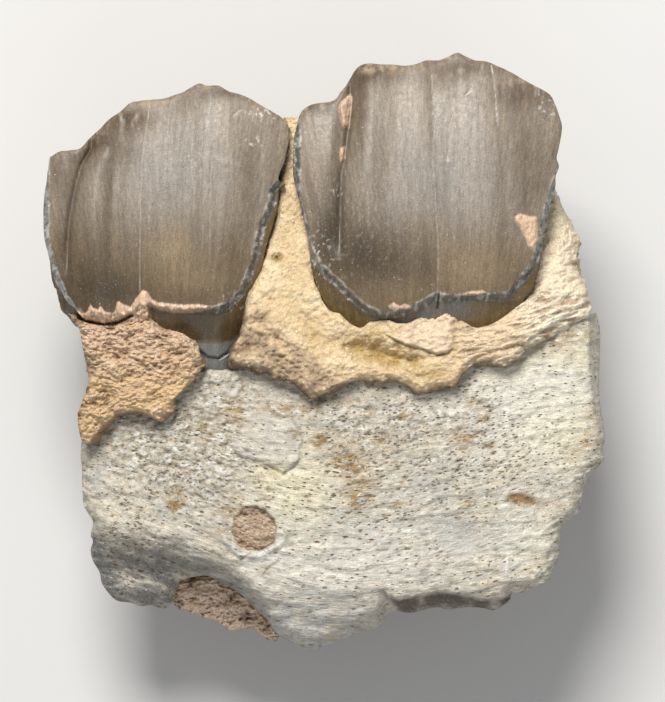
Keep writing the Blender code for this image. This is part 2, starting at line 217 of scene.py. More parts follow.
def skin(name, cells, place):
    # The skin of a block. Its front (w = 1) is a grid of `across` by `along` cells. The back (w = 0)
    # and the sides, in even layers up to just short of the front, have cells twice as wide, and a ring
    # of five-sided faces joins the two. place(u, v, w) gives x, y, z and the marks of every corner.
    across, along, depth = cells
    mu, mv, layers = across // 2, along // 2, np.linspace(0, 0.97, depth)
    i, j = np.meshgrid(np.arange(across + 1), np.arange(along + 1), indexing="ij")
    front = i * (along + 1) + j
    shell = np.zeros((mu + 1, mv + 1, len(layers)), bool)
    shell[[0, -1]] = shell[:, [0, -1]] = shell[:, :, 0] = True
    ci, cj, ck = np.nonzero(shell)
    rest = np.full(shell.shape, -1)
    rest[shell] = front.size + np.arange(len(ci))
    u = np.concatenate([i.ravel() / across, ci / mu])
    v = np.concatenate([j.ravel() / along, cj / mv])
    w = np.concatenate([np.ones(front.size), layers[ck]])
    x, y, z, marks = place(u, v, w)

    ringBack = np.concatenate([rest[:-1, 0, -1], rest[-1, :-1, -1],
                               rest[:0:-1, -1, -1], rest[0, :0:-1, -1]])
    ringFront = np.concatenate([front[:-1, 0], front[-1, :-1], front[:0:-1, -1], front[0, :0:-1]])
    nextFront = np.roll(ringFront, -2)
    fives = np.stack([ringBack, np.roll(ringBack, -1), nextFront[::2], ringFront[1::2],
                      ringFront[::2]], -1)
    fours = np.vstack([quads(front), quads(rest[:, :, 0])[:, ::-1],
                       quads(rest[:, 0, :]), quads(rest[:, -1, :])[:, ::-1],
                       quads(rest[0])[:, ::-1], quads(rest[-1])])
    mesh = bpy.data.meshes.new(name)
    mesh.vertices.add(len(u))
    mesh.vertices.foreach_set("co", (np.stack([x, y, z], -1) * mm).ravel())
    mesh.loops.add(fours.size + fives.size)
    mesh.loops.foreach_set("vertex_index", np.concatenate([fours.ravel(), fives.ravel()]))
    mesh.polygons.add(len(fours) + len(fives))
    starts = np.concatenate([4 * np.arange(len(fours)), fours.size + 5 * np.arange(len(fives))])
    mesh.polygons.foreach_set("loop_start", starts)
    mesh.update(calc_edges=True)
    mesh.validate()
    mesh.shade_smooth()
    for key, values in marks.items():
        if isinstance(values, tuple):
            flow = mesh.attributes.new(key, "FLOAT_VECTOR", "POINT")
            flow.data.foreach_set("vector", np.stack(np.broadcast_arrays(*values), -1).ravel())
        else:
            mark = mesh.attributes.new(key, "FLOAT", "POINT")
            mark.data.foreach_set("value", np.clip(values, 0, 1))
    piece = bpy.data.objects.new(name, mesh)
    bpy.context.scene.collection.objects.link(piece)
    print(f"{name}: {len(u)} corners, {len(fours) + len(fives)} faces")
    return piece


def build(part, place, finish):
    # the part's skin takes its material, moves with the fossil and stands for its solid
    piece = skin(part["name"], part["cells"], place)
    piece.data.materials.append(finish)
    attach(piece, "root")
    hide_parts(part["node"])


# Materials. Each one mixes its colours by the marks that the meshes carry, varies them with noise
# measured in millimetres, and adds the finest grain as bump.

def newNode(tree, kind, inputs=(), **settings):
    # a node with these values on its sockets and these settings
    node = tree.nodes.new(kind)
    for key, value in settings.items():
        setattr(node, key, value)
    for key, value in dict(inputs).items():
        node.inputs[key].default_value = value
    return node


def attribute(tree, name, output="Fac"):
    # what the mesh carries under this name
    return newNode(tree, "ShaderNodeAttribute", attribute_name=name).outputs[output]


def grainSpace(tree, stretch=None):
    # millimetres in the object's own space, or along the piece's flow lines when stretched
    if stretch is None:
        source, scale = newNode(tree, "ShaderNodeTexCoord").outputs["Object"], (1000, 1000, 1000)
    else:
        source, scale = attribute(tree, "flow", "Vector"), stretch
    mapping = newNode(tree, "ShaderNodeMapping", {"Scale": scale})
    tree.links.new(source, mapping.inputs["Vector"])
    return mapping.outputs["Vector"]


def grain(tree, scale, detail=3.0, stretch=None):
    # noise from 0 to 1, with `scale` swells to the millimetre
    texture = newNode(tree, "ShaderNodeTexNoise",
                      {"Scale": scale, "Detail": detail, "Roughness": 0.55})
    tree.links.new(grainSpace(tree, stretch), texture.inputs["Vector"])
    return texture.outputs["Fac"]


def spread(tree, source, low, high, fromLow=0.0, fromHigh=1.0):
    # carries a value from one range to another, and stops at its ends
    node = newNode(tree, "ShaderNodeMapRange", {"From Min": fromLow, "From Max": fromHigh,
                                                "To Min": low, "To Max": high})
    tree.links.new(source, node.inputs["Value"])
    return node.outputs["Result"]


def combine(tree, operation, a, b):
    # one step of sums on two sockets or numbers
    node = newNode(tree, "ShaderNodeMath", operation=operation)
    for socket, value in zip(node.inputs, (a, b)):
        if isinstance(value, (int, float)):
            socket.default_value = value
        else:
            tree.links.new(value, socket)
    return node.outputs[0]


def mixColour(tree, factor, under, over, blend="MIX"):
    # lays the second colour over the first, as strongly as the factor says
    node = newNode(tree, "ShaderNodeMix", data_type="RGBA", blend_type=blend)
    for socket, value in zip((node.inputs[0], node.inputs[6], node.inputs[7]),
                             (factor, under, over)):
        if isinstance(value, (int, float)):
            socket.default_value = value
        elif isinstance(value, tuple):
            socket.default_value = (*value, 1)
        else:
            tree.links.new(value, socket)
    return node.outputs[2]


def poreSpots(tree, stretch, widest, share):
    # one spot in each of a `share` of random cells, as dark as the mark "speckle" is strong
    cells = newNode(tree, "ShaderNodeTexVoronoi", {"Scale": 1.0})
    tree.links.new(grainSpace(tree, stretch), cells.inputs["Vector"])
    spot = spread(tree, cells.outputs["Distance"], 1, 0, widest * 0.5, widest)
    own = newNode(tree, "ShaderNodeSeparateColor")
    tree.links.new(cells.outputs["Color"], own.inputs["Color"])
    limit = combine(tree, "MULTIPLY", attribute(tree, "speckle"), share)
    chosen = combine(tree, "LESS_THAN", own.outputs["Red"], limit)
    return combine(tree, "MULTIPLY", spot, chosen)


def makeFinish(look):
    # The base colour with clouds of other tints, then each mark's tint, specks and pores, times its
    # shades. The roughness comes from noise, and marks pull it to their own value. Bumps lie on
    # one another, and the pores' bump lies on top
    material = bpy.data.materials.new(look["name"])
    material.use_nodes = True
    tree = material.node_tree
    shader = tree.nodes["Principled BSDF"]
    colour = look["base"]
    for scale, stretch, fromLow, fromHigh, tint in look["clouds"]:
        cloud = spread(tree, grain(tree, scale, 4.0, stretch), 0, 1, fromLow, fromHigh)
        colour = mixColour(tree, cloud, colour, tint)
    for mark, tint in look["layers"]:
        colour = mixColour(tree, attribute(tree, mark), colour, tint)
    for scale, fromLow, fromHigh, tint in look["specks"]:
        colour = mixColour(tree, spread(tree, grain(tree, scale, 2.0), 0, 1, fromLow, fromHigh),
                           colour, tint)
    holes = None
    for stretch, widest, share, tint in look["pores"]:
        pore = poreSpots(tree, stretch, widest, share)
        colour = mixColour(tree, pore, colour, tint)
        holes = pore if holes is None else combine(tree, "MAXIMUM", holes, pore)
    for scale, stretch, low, high in look["shades"]:
        shade = spread(tree, grain(tree, scale, 3.0, stretch), low, high, 0.3, 0.7)
        colour = mixColour(tree, 1.0, colour, shade, "MULTIPLY")
    tree.links.new(colour, shader.inputs["Base Color"])

    gloss = spread(tree, grain(tree, *look["glossGrain"]), *look["roughness"], 0.3, 0.7)
    for mark, value in look["glossBy"]:
        away = combine(tree, "SUBTRACT", value, gloss)
        gloss = combine(tree, "ADD", gloss, combine(tree, "MULTIPLY", attribute(tree, mark), away))
    tree.links.new(gloss, shader.inputs["Roughness"])
    shader.inputs["IOR"].default_value = look["ior"]
    shader.inputs["Specular IOR Level"].default_value = look["specular"]

    reliefs = [(grain(tree, scale, 3.0, stretch), height, False)
               for scale, stretch, height in look["bumps"]]
    if holes is not None:
        reliefs.append((holes, look["poreDepth"], True))
    under = None
    for source, height, sunk in reliefs:
        bump = newNode(tree, "ShaderNodeBump", {"Strength": 1.0, "Distance": height * mm},
                       invert=sunk)
        tree.links.new(source, bump.inputs["Height"])
        if under:
            tree.links.new(under, bump.inputs["Normal"])
        under = bump.outputs["Normal"]
    tree.links.new(under, shader.inputs["Normal"])
    return material


# The two molars

firstMolar = {
    "name": "firstMolarTooth",
    "node": "first_molar",
    "cells": (230, 230, 60),
    "crest": 26.4,  # height of the outer wall over the floor
    "rootSlope": 1.35,
    # outline of the cheek side, from the bone to the crown or from left to right
    "left": [(-20.4, -1.9), (-21.4, 2), (-22.6, 3.9), (-23.3, 4.5), (-23.9, 5.5), (-24.5, 6.5),
        (-24.8, 7.7), (-25.1, 9), (-25.4, 10.2), (-25.5, 11.5), (-25.5, 13.1), (-25.4, 14.4),
        (-25.2, 15.5), (-25.1, 16.4), (-24.9, 17.7)],
    "top": [(-24.9, 17.7), (-24, 18.2), (-23.1, 18.3), (-22.1, 18.5), (-21.3, 19.4), (-20.4, 20.2),
        (-19.5, 21.1), (-18.5, 21.8), (-17.6, 22.6), (-16.7, 22.8), (-15.8, 22.9), (-14.6, 23),
        (-13.7, 23.3), (-12.8, 23.6), (-12, 24.1), (-11.3, 24.4), (-10.6, 24.2), (-9.6, 24.2),
        (-8.7, 23.7), (-7.6, 23.4), (-6.7, 23), (-5.7, 22.4), (-4.8, 21.9), (-4, 21.4), (-3.4, 21)],
    "right": [(-8.4, -1.9), (-7.9, 0.4), (-7.3, 3.1), (-7.2, 4.5), (-6.8, 5.5), (-6.1, 6.5), (-5.6, 7.8),
        (-5.3, 9.4), (-4.9, 10.7), (-4.5, 12), (-4.2, 13.3), (-4, 14.8), (-3.5, 15.2), (-4.1, 15.6),
        (-4, 16.3), (-3.6, 17.2), (-3.4, 18.1), (-3.2, 19.2), (-3.2, 20.2), (-3.4, 21)],
    # the enamel plate's broken edge, down the left side, along the bottom and up the right side
    "plate": [(-25.1, 18.4), (-25, 17), (-25, 13.8), (-25, 10.2), (-24.5, 8.5), (-24.2, 7.3), (-23.7, 6),
        (-23.2, 4.9), (-22.5, 4), (-21.8, 3.5), (-20.8, 3.6), (-19.5, 3.5), (-18.1, 3.6), (-17.2, 4.3),
        (-15.8, 4.5), (-13, 4.2), (-9.8, 4.2), (-9, 4.4), (-8.3, 5), (-7.7, 5.7), (-7.2, 6.7),
        (-6.9, 7.8), (-6.5, 9), (-6.2, 10.3), (-6, 11.4), (-5.6, 12.2), (-5, 13.7), (-5, 14.8),
        (-4.3, 15.6), (-3.5, 16.7), (-1.5, 18), (-1.5, 28), (-28, 28), (-28, 18.6)],
    "groove": [(8.2, -23.3), (9.7, -23.3), (12, -23.1), (13.8, -22.8), (15.6, -22.4),
               (17, -22), (18.5, -21.1)],  # pairs of Y and X
    "grooveReach": (5.5, 5),  # it fades out below this Y, over this length
    # shallower furrows: their Y and X along the line, half width and depth
    "dips": [(([5, 12, 18.6], [-19.4, -19.6, -18.9]), 0.55, 0.12)],
    # matrix that still clings to the tooth: outline and thickness
    "clay": [([(-16.5, 5.6), (-16, 5.5), (-15.6, 4.8), (-15.1, 4.5), (-13, 4.3), (-11.3, 4.3),
        (-9.7, 4.1), (-10.5, 3.8), (-11.1, 3.7), (-12.6, 3.5), (-13.9, 3.6), (-15.2, 3.9), (-15.9, 4.2),
        (-15.7, 3.2), (-16.5, 2.6), (-18.7, 2), (-20, 2), (-22.2, 2.4), (-23.2, 3.8), (-22.5, 3.9),
        (-21.8, 3.5), (-21.5, 3.7), (-21.2, 4.4), (-20.9, 4), (-20.5, 3.9), (-20.3, 4.2), (-20.1, 4),
        (-19.8, 3.6), (-19.3, 3.5), (-19, 3.7), (-18.8, 4.5), (-18.6, 4.6), (-18.3, 4.4), (-17.6, 4.1),
        (-17.3, 4.5), (-16.9, 5.1)], 0.22)],
    # gaps painted dark as shade, as under the enamel's broken edge: line, half width and depth
    "gaps": [([(-23.3, 3.8), (-22.2, 3), (-21.3, 2.7), (-20, 2.5), (-18.7, 2.7),
        (-17.5, 3.3)], 0.16, 0.6), ([(-11.4, 0.1), (-10.6, -0.5), (-9.6, -0.6), (-8.8, -0.1),
        (-8.3, 0.5)], 0.1, 0.3)],
    # slate-coloured part of the crown's base
    "slate": [],  # none on this tooth
    "root": [(-12, 0.9), (-10, 0.75), (-8.6, 1), (-7, 2.2), (-7, -2.5), (-12.5, -2.5)],
    # fine cracks: line and whiteness
    "cracks": [([(-15.8, 22.5), (-16.2, 19.5), (-16.5, 17.5), (-16.6, 13.8), (-16.7, 8.4),
        (-16.7, 5.6)], 0.42), ([(-10.1, 18.4), (-10.3, 15.6), (-10.3, 10.2), (-10.4, 8.2)], 0.15),
        ([(-8.3, 21.4), (-7.6, 22)], 0.7)],
    # darker streaks: line, half width and strength
    "streaks": [([(-19, 18.6), (-19.3, 15.6), (-19.5, 12), (-19.5, 7)], 0.3, 0.55), ([(-11.5, 23.8),
        (-11.5, 21.1), (-11.4, 14), (-11.6, 6)], 0.4, 0.38), ([(-9.8, 19), (-10.2, 10),
        (-10.4, 6)], 0.25, 0.25), ([(-6.4, 20.5), (-6.6, 16), (-7.2, 11)], 0.6, 0.35), ([(-17.6, 20.5),
        (-18.3, 14), (-18.2, 6)], 0.3, 0.25)],
    # pale vertical swells: X, half width and height
    "swells": [(-20.8, 1.1, 0.3), (-14.5, 2.4, 0.25), (-9, 1.3, 0.1)],
    "brown": [(-20.2, 18.9, 3, 2.2, 0.9), (-17.6, 21.2, 2.6, 1.3, 0.9), (-24.2, 16, 1, 3, 0.6),
        (-9.5, 23.6, 2.4, 0.8, 0.7), (-7, 16, 0.9, 3.6, 0.5), (-12.6, 22.6, 1.2, 1.2, 0.4)],
    "glow": [(-13.6, 9.4, 2, 1.6, 0.9), (-8.6, 7.4, 1.6, 1.6, 0.2), (-12, 6.5, 3, 1.5, 0.5)],
    # painted shade where the wall turns away from the lamp, mostly low and to the left: middle, half sizes
    # and strength
    "dark": [(-20.8, 6, 3.4, 3, 0.7), (-18, 5.4, 2.6, 1.6, 0.45), (-23.6, 8.5, 1.1, 3.6, 0.45),
        (-19.4, 10.5, 3, 2.6, 0.16), (-12.5, 5, 3.6, 0.8, 0.35), (-8.4, 8.5, 1.2, 3, 0.35),
        (-11.5, 2, 5, 1.5, 0.6)],
    # the palest part of the outer wall, with half sizes: partly the enamel's own paler tone, partly painted
    # light on the upper wall, which faces the lamp
    "paleAndLitPart": (-13.5, 16, 7.5, 5),  # where the enamel is palest, with half sizes
    # white grains and dusty patches: middle, half sizes and strength
    "frost": [(-6.4, 19.1, 0.8, 0.6, 0.8), (-11.7, 17.4, 2, 1.2, 0.4), (-5.6, 21.6, 1.6, 0.6, 0.9),
        (-8, 4.6, 1.2, 0.8, 1)],
    "dusted": [(-16.9, 22.5, 2, 0.35, 0.9), (-11.2, 24.1, 1.2, 0.3, 0.9), (-20.6, 19.7, 1, 0.3, 0.7)],
}

secondMolar = {
    "name": "secondMolarTooth",
    "node": "second_molar",
    "cells": (230, 230, 60),
    "crest": 27.2,
    "rootSlope": 2.3,
    "left": [(3.2, -1.9), (2, 1.4), (0.9, 3.2), (0, 4.6), (-0.5, 5.6), (-0.9, 6.8), (-1.2, 8.3),
        (-1.5, 10.5), (-2, 12.8), (-2.5, 14.6), (-2.8, 16.1), (-2.8, 18), (-2.7, 19.5), (-2.3, 21.3)],
    "top": [(-2.3, 21.3), (-1.9, 22), (-1, 22.5), (0.5, 22.7), (1.1, 23), (1.5, 23.6), (2, 24.2),
        (2.4, 24.9), (3, 25.8), (3.9, 26.2), (5.2, 26.1), (6.2, 26.1), (7.5, 26), (8.5, 26.2),
        (9.3, 26.5), (10.4, 26.5), (11.2, 26.8), (11.8, 27.1), (12.2, 27.2), (12.8, 26.9), (13.7, 26.5),
        (14.7, 26.4), (15.7, 26), (16.8, 25.5), (18, 24.8), (19.1, 24.2), (20.5, 23.4), (21, 22.5)],
    "right": [(15.4, -1.9), (16.6, 2), (18.2, 4.8), (18.9, 5.6), (19.2, 6.7), (19.7, 8.5), (19.8, 10.2),
        (20.2, 11.5), (20.5, 13.3), (21, 15), (21, 15.9), (21.3, 16.8), (21.1, 17.6), (21.3, 18.5),
        (21.6, 20.3), (21.4, 21.3), (21, 22.5)],
    "plate": [(-2.2, 22.9), (-2.2, 19.5), (-2.1, 17.5), (-2.2, 15.7), (-2.1, 13.6), (-1.6, 11.9),
        (-1.3, 10.5), (-1, 9.3), (-0.2, 8.1), (0.6, 7.2), (1.5, 6.4), (2.4, 5.5), (3.4, 4.6), (4.3, 4),
        (5.2, 3.7), (6.2, 3.7), (7.5, 4), (8.6, 4.5), (9.5, 5), (10.2, 5.4), (10.9, 5.2), (12.1, 5.2),
        (13.2, 5.4), (14.2, 5.3), (15.6, 5.3), (16.6, 5.5), (17.3, 6.4), (18, 7.1), (18.7, 8.1),
        (19.1, 9.3), (19.5, 10.7), (19.8, 12.3), (20.1, 13.5), (20.5, 15), (21.1, 16.4), (21.9, 17.3),
        (24, 18), (24, 30), (-5, 30), (-5, 23)],
    "groove": [(9, 1.4), (13.8, 1.5), (16.1, 1.6), (18.4, 2), (21.1, 2.3), (23.6, 2.4)],
    "grooveReach": (8, 4),
    "dips": [(([6, 14, 26], [10.9, 10.6, 9.7]), 0.5, 0.12)],
    "clay": [([(2.4, 23.5), (2.6, 23.1), (2.5, 22), (2.4, 21.1), (2.3, 20.2), (1.7, 20.4), (1.5, 21.1),
        (1.3, 22.2), (1.5, 22.7)], 0.42), ([(1.9, 18.7), (2, 18.4), (1.9, 17.5), (1.5, 17), (1.4, 17.9),
        (1.5, 18.5)], 0.42), ([(17.2, 12.2), (17.8, 12.6), (18.5, 12.3), (19.3, 12.3), (19.4, 11.1),
        (19.4, 10.2), (19, 9.3), (18.5, 9.5), (18.2, 10.4), (17.7, 11.3), (17.3, 11.8)], 0.25),
        ([(5.8, 4.2), (6.3, 4.5), (6.8, 4.2), (7.4, 4.4), (7.9, 4.1), (7.9, 3.9), (6, 3.9)], 0.12),
        ([(11.6, 5.1), (12.5, 5.3), (13.3, 5.5), (14.4, 5.6), (14.8, 5.4), (13.7, 5.1)], 0.12)],
    "gaps": [([(10.4, 5.3), (10.35, 4.6), (10.3, 3.9)], 0.07, 0.3)],
    "slate": [(3.6, 4.4), (4.3, 4), (5.2, 3.8), (6.2, 3.8), (7.5, 4.1), (8.6, 4.6), (9.5, 5), (10.2, 5.3),
        (10.9, 5.1), (12.1, 5.1), (13.2, 5.3), (13.4, 4.2), (13, 3.2), (10.3, 3), (6, 2.2), (4.6, 2.6)],
    "root": [(3, 0), (16, 0), (16, -2.5), (3, -2.5)],
    "cracks": [([(9.8, 25.2), (9.9, 20.2), (9.9, 16.5), (10.1, 12.9), (10.3, 10.2), (10.3, 4.7)], 0.36),
        ([(15.2, 26), (15.5, 23.8), (15.7, 20.6)], 0.75), ([(12.8, 23.2), (13.4, 23.9)], 1),
        ([(12.9, 23.3), (13.5, 23.7)], 1)],
    "streaks": [([(0.6, 21.9), (0.9, 18), (1.1, 13)], 0.4, 0.4), ([(3, 24.6), (3.4, 19),
        (3.6, 8)], 0.5, 0.42), ([(5, 20), (5.4, 12), (5.6, 6)], 0.45, 0.22), ([(10.6, 22), (11, 12),
        (11.1, 6)], 0.35, 0.32), ([(12, 25), (12.4, 16), (12.4, 6)], 0.3, 0.2), ([(15.6, 20.6),
        (16.2, 12), (16, 7)], 0.55, 0.35), ([(17.5, 23), (18.2, 16), (18, 12)], 0.9, 0.42)],
    "swells": [(3.9, 1.5, 0.14), (8, 2.4, 0.2), (14.2, 2.2, 0.18)],
    "brown": [(4.4, 25.3, 3, 1.1, 0.9), (3.4, 22.8, 1, 3.2, 0.6), (18, 23.4, 3, 1.6, 0.8),
        (13.2, 25.8, 3, 1, 0.7), (-0.6, 22.2, 1.4, 0.6, 0.8), (18.6, 17.5, 1.8, 4, 0.55),
        (10.6, 24.8, 1.6, 1.4, 0.4)],
    "glow": [(13.5, 7.6, 3, 2.2, 0.8), (9, 10.5, 2.2, 1.6, 0.5), (6.4, 6.3, 3.2, 1.6, 0.6)],
    # painted shade where the wall turns away from the lamp: middle, half sizes and strength
    "dark": [(3.2, 8.4, 3, 2.6, 0.7), (0.4, 11, 1.5, 3.4, 0.85), (6.6, 7.4, 3, 2.2, 0.5),
        (9.4, 8, 0.9, 3, 0.4), (6.5, 10.8, 4, 2.2, 0.25)],
    # palest part of the outer wall: partly paler enamel, partly painted light on the upper wall
    "paleAndLitPart": (10.8, 14.9, 9, 7.4),
    "frost": [(11.3, 17.2, 0.6, 0.9, 0.9), (1.2, 14.2, 0.5, 1, 0.9), (20.2, 22.4, 0.9, 1.4, 0.8),
        (-0.6, 8.4, 1, 2, 0.8), (3.6, 12, 5, 6, 0.15)],
    "dusted": [(6.8, 25.7, 3, 0.4, 1), (4, 25.7, 1.2, 0.4, 0.8), (17.6, 24.6, 2.4, 0.3, 0.7)],
}


def crownRelief(u, w):
    # how far the chewing surface dips under the outer wall's edge, as a share of the crown's height.
    # Two cross ridges run from the wall to the tongue side, with a valley between them and a pit
    behindWall = smooth((0.86 - w) / 0.12)
    valley = 0.26 * bell((u - 0.44 - 0.14 * w) / 0.09) * smooth((0.80 - w) / 0.20)
    pit = 0.12 * bell((u - 0.86) / 0.07) * bell((w - 0.56) / 0.20)
    shelf = 0.22 * smooth((0.12 - u) / 0.10)
    hollows = valley + pit + shelf
    return behindWall * (0.05 + 0.18 * (1 - w) + hollows), behindWall * hollows


def tongueSide(u, v):
    # height of the tooth's back over the floor: two rounded lobes with a cleft between them
    swell = 3.4 * ((v - 0.45) / 0.55) ** 2
    cleft = 3.6 * bell((u - 0.51) / 0.10) * smooth((v - 0.15) / 0.4)
    return np.maximum(0.0, swell + cleft + 5.0 * np.abs(2 * u - 1) ** 5 - 0.15)


enamelStep = 0.85  # how far the enamel stands over the crown's base


def wallBulge(t, u, y):
    # the outer wall's plain swell: it falls off with the square of the height along the crown, and
    # with the fourth power of the place across it
    return t["crest"] - 2.0 * ((y - 12.5) / 13.0) ** 2 - 1.1 * np.abs(2 * u - 1) ** 4


def clingingClay(t, x, y, depth):
    # where siltstone still clings to the tooth, and how thick it lies there: thicker past the
    # enamel's broken edge, where it fills the step, and crumbly all over
    cover, rise = np.zeros(x.shape), np.zeros(x.shape)
    for outline, thick in t["clay"]:
        inside = depthInside(x, y, outline) + 0.05 * rough(x * 3, y * 3, 4.0, 3, 9)
        cover = np.maximum(cover, smooth(inside / 0.12 + 0.3))
        crumbs = 1 + 0.5 * rough(x * 2.2, y * 2.2, 7.0, 3, 10)
        rise = np.maximum(rise, (thick + 0.75 * smooth(-depth / 0.5)) * smooth(inside / 0.25) * crumbs)
    return cover, rise


def gapsAndCracks(t, x, y):
    # gaps painted dark as shade, white cracks that come and go, and how far the surface sinks at both
    gap, white, sink = np.zeros((3, *x.shape))
    for line, wide, deep in t["gaps"]:
        near = nearLine(x, y, line, wide)
        gap, sink = np.maximum(gap, near), np.maximum(sink, deep * near)
    for line, strength in t["cracks"]:
        near = distanceTo(x, y, line) + 0.02 * noise(x * 4, y * 4, 3.0, 11)
        broken = 0.45 + 0.55 * smooth(0.5 + rough(x * 2, y * 1.2, 5.0, 2, 12))
        white = np.maximum(white, strength * bell(near / 0.05) * broken)
        sink = sink + 0.03 * bell(near / 0.10)
    return gap, white, sink


def outerWall(t, u, x, y):
    # Height of the cheek side and its marks. The enamel plate bulges, with a furrow behind its front
    # rib. At its broken edge it steps down to the crown's base, which slopes back to the root.
    grooveX = np.interp(y, *np.transpose(t["groove"]))
    fade = smooth((y - t["grooveReach"][0]) / t["grooveReach"][1])
    furrow = (0.75 * bell((x - grooveX) / 0.9) + 0.42 * bell((x - grooveX) / 0.26)) * fade
    for at, width, depth in t["dips"]:
        furrow = furrow + depth * bell((x - np.interp(y, *at)) / width) * fade
    rib = 0.34 * bell((x - grooveX - 2.2) / 1.7) * fade
    swells = sum(height * bell((x - at) / width) for at, width, height in t["swells"])

    ragged = 0.09 * rough(x * 1.7, y * 1.7, 2.0, 4, 5) + 0.05 * noise(x * 8, y * 8, 1.0, 6)
    depth = depthInside(x, y, t["plate"]) + ragged
    step = enamelStep * smooth(-depth / 0.5)
    base = np.minimum(0.38 * np.maximum(0, 4.6 - y), t["rootSlope"]) * smooth(-depth / 0.8)
    chips = smooth((0.75 + depth) / 0.2) * smooth((0.10 - depth) / 0.15)
    chipped = 0.22 * chips * rough(x * 3.0, y * 3.0, 0.5, 3, 8)

    clay, clayRise = clingingClay(t, x, y, depth)
    gap, white, sink = gapsAndCracks(t, x, y)
    frost = spots(x, y, t["frost"]) * smooth(6 * rough(x * 2.9, y * 2.9, 8.0, 2, 57) - 1.9)
    white = np.maximum(white, frost)
    dusted = spots(x, y, t["dusted"]) * smooth(0.6 + 2.2 * rough(x * 1.4, y * 1.4, 3.0, 3, 58))

    lines = (0.018 * noise(x * 2.2, y * 0.22, 2.0, 13) + 0.008 * noise(x * 5.5, y * 0.6, 2.0, 14)
             + 0.006 * noise(x * 1.2, y * 5.0, 3.0, 19))
    edge = distanceTo(x, y, t["top"])
    worn = 0.30 * np.maximum(0, 1 - edge / 0.45) ** 2 * (0.6 + 1.4 * rough(x * 1.1, y * 1.1, 0, 3, 15))
    height = (wallBulge(t, u, y) - furrow + rib + swells - step - base + chipped + clayRise - sink
              + lines * smooth(depth / 0.3) - worn)

    streak = sum(strength * nearLine(x, y, line, wide) for line, wide, strength in t["streaks"])
    slate = smooth(depthInside(x, y, t["slate"]) / 0.7 + 0.5) * smooth(-depth / 0.25)
    slate = np.maximum(slate, 0.85 * smooth((0.85 + depth) / 0.5) * smooth(-depth / 0.2))
    slate = slate * smooth(0.85 + 0.9 * rough(x * 0.8, y * 1.6, 4.0, 3, 26))
    paleLitPart = t["paleAndLitPart"]
    marks = {
        # partly paler enamel, partly painted light where the upper wall faces the lamp
        "pale": bell(np.hypot((x - paleLitPart[0]) / paleLitPart[2], (y - paleLitPart[1]) / paleLitPart[3])),
        "streak": streak,
        # painted shade along the furrow's deepest line
        "groove": 0.5 * bell((x - grooveX + 0.1) / 0.36) * fade,
        "brown": spots(x, y, t["brown"]) * smooth(0.95 + 0.8 * rough(x * 1.5, y * 0.7, 0, 3, 16)),
        "glow": spots(x, y, t["glow"]),
        # painted shade on the lower left of the wall
        "dark": spots(x, y, t["dark"]),
        "amber": smooth((-depth - 0.35) / 0.25),
        "slate": slate,
        "root": smooth(depthInside(x, y, t["root"]) / 0.2 + 0.5),
        "rim": chips,
        # white chips on the broken rim, and a painted highlight along the plate's very edge
        "chip": chips * smooth(3.5 * rough(x * 1.5, y * 1.5, 2.0, 4, 17) - 0.25)
                + 0.8 * bell((depth - 0.03) / 0.08) * smooth(0.4 + 2 * noise(x * 0.9, y * 0.9, 6, 25)),
        "worn": smooth(1 - edge / 0.35) * smooth(0.2 + rough(x * 1.1, y * 1.1, 3.0, 3, 18)) + dusted,
        "white": white,
        "clay": clay,
        # painted shade in the gaps
        "gap": gap,
    }
    return height, marks


def makeTooth(t, finish):
    front = patch(t["left"], t["right"], [t["left"][0], t["right"][0]], t["top"])
    ends = front(np.array([0.0, 1.0]), np.array([0.5, 0.5]))[0]
    middle, width = ends.mean(), ends[1] - ends[0]
    rootEnd = t["left"][0][1]

    def place(u, v, w):
        # the outline narrows towards the tongue side, and the chewing surface sinks behind the wall
        x, y = front(u, v)
        facing = smooth((w - 0.85) / 0.15)
        x = middle + (x - middle) * (1 - 0.25 * (1 - w) ** 1.2)
        wall, marks = outerWall(t, u, x, y)
        relief, hollows = crownRelief(u + 0.03 * rough(u * 5, w * 7, t["crest"], 2, 22), w)
        plain = wallBulge(t, u, y) - 1.2
        wall = plain + (wall - plain) * facing
        # dentine lies bare inside the rim of enamel, a little lower than it
        rimGap = np.minimum(np.minimum(u, 1 - u) * width, np.minimum(1 - w, w) * 25)
        dentine = smooth((rimGap - 0.9) / 0.5) * smooth((0.045 - hollows) / 0.03)
        onTop = smooth((v - 0.97) / 0.03)
        rimLine = bell((rimGap - 0.55) / 0.35) + bell((hollows - 0.05) / 0.025)
        bite = dentine * 0.55 - 0.22 * rimLine + 0.16 * rough(u * 14, w * 16, t["crest"], 3, 20)
        y = rootEnd + (y - rootEnd) * (1 - relief) - bite * onTop * (1 - facing)
        back = tongueSide(u, v) + 0.25 * (1 - w) * smooth((y - 1) / 2) * bell((y - 2.5) / 0.8)
        wrinkles = (0.15 * rough(u * 18, v * 20, t["crest"], 4, 21)
                    + 0.07 * noise(u * 9, v * 60, w * 9, 28)) * (1 - facing)
        side = np.sign(2 * u - 1) * wrinkles * smooth((np.abs(2 * u - 1) - 0.9) / 0.1)
        z = back + np.abs(wrinkles) * (w < 0.01) + (wall - back) * w
        for key in marks:
            marks[key] = marks[key] * facing
        chewing = onTop * (1 - facing)
        marks["dentine"] = dentine * chewing
        marks["hollow"] = smooth(hollows / 0.15) * chewing
        marks["worn"] = np.maximum(marks["worn"], 0.9 * np.minimum(rimLine, 1) * chewing)
        packed = smooth((hollows - 0.085) / 0.03 + 0.8 * rough(u * 9, w * 12, 2.0, 3, 30)) * chewing
        marks["clay"] = np.maximum(marks["clay"], packed)
        low = smooth((3.5 - y) / 2.0) * (1 - facing)
        marks["root"] = np.maximum(marks["root"], low)
        # darker towards the crown's base: partly browner enamel, partly painted shade where the wall turns
        # down from the lamp
        marks["low"] = smooth((13.5 - y) / 8.0)
        marks["flow"] = ((x - middle) / (1 + 0.02 * (y - 12)), y, w * 25)
        return x - side, y, z, marks

    build(t, place, finish)


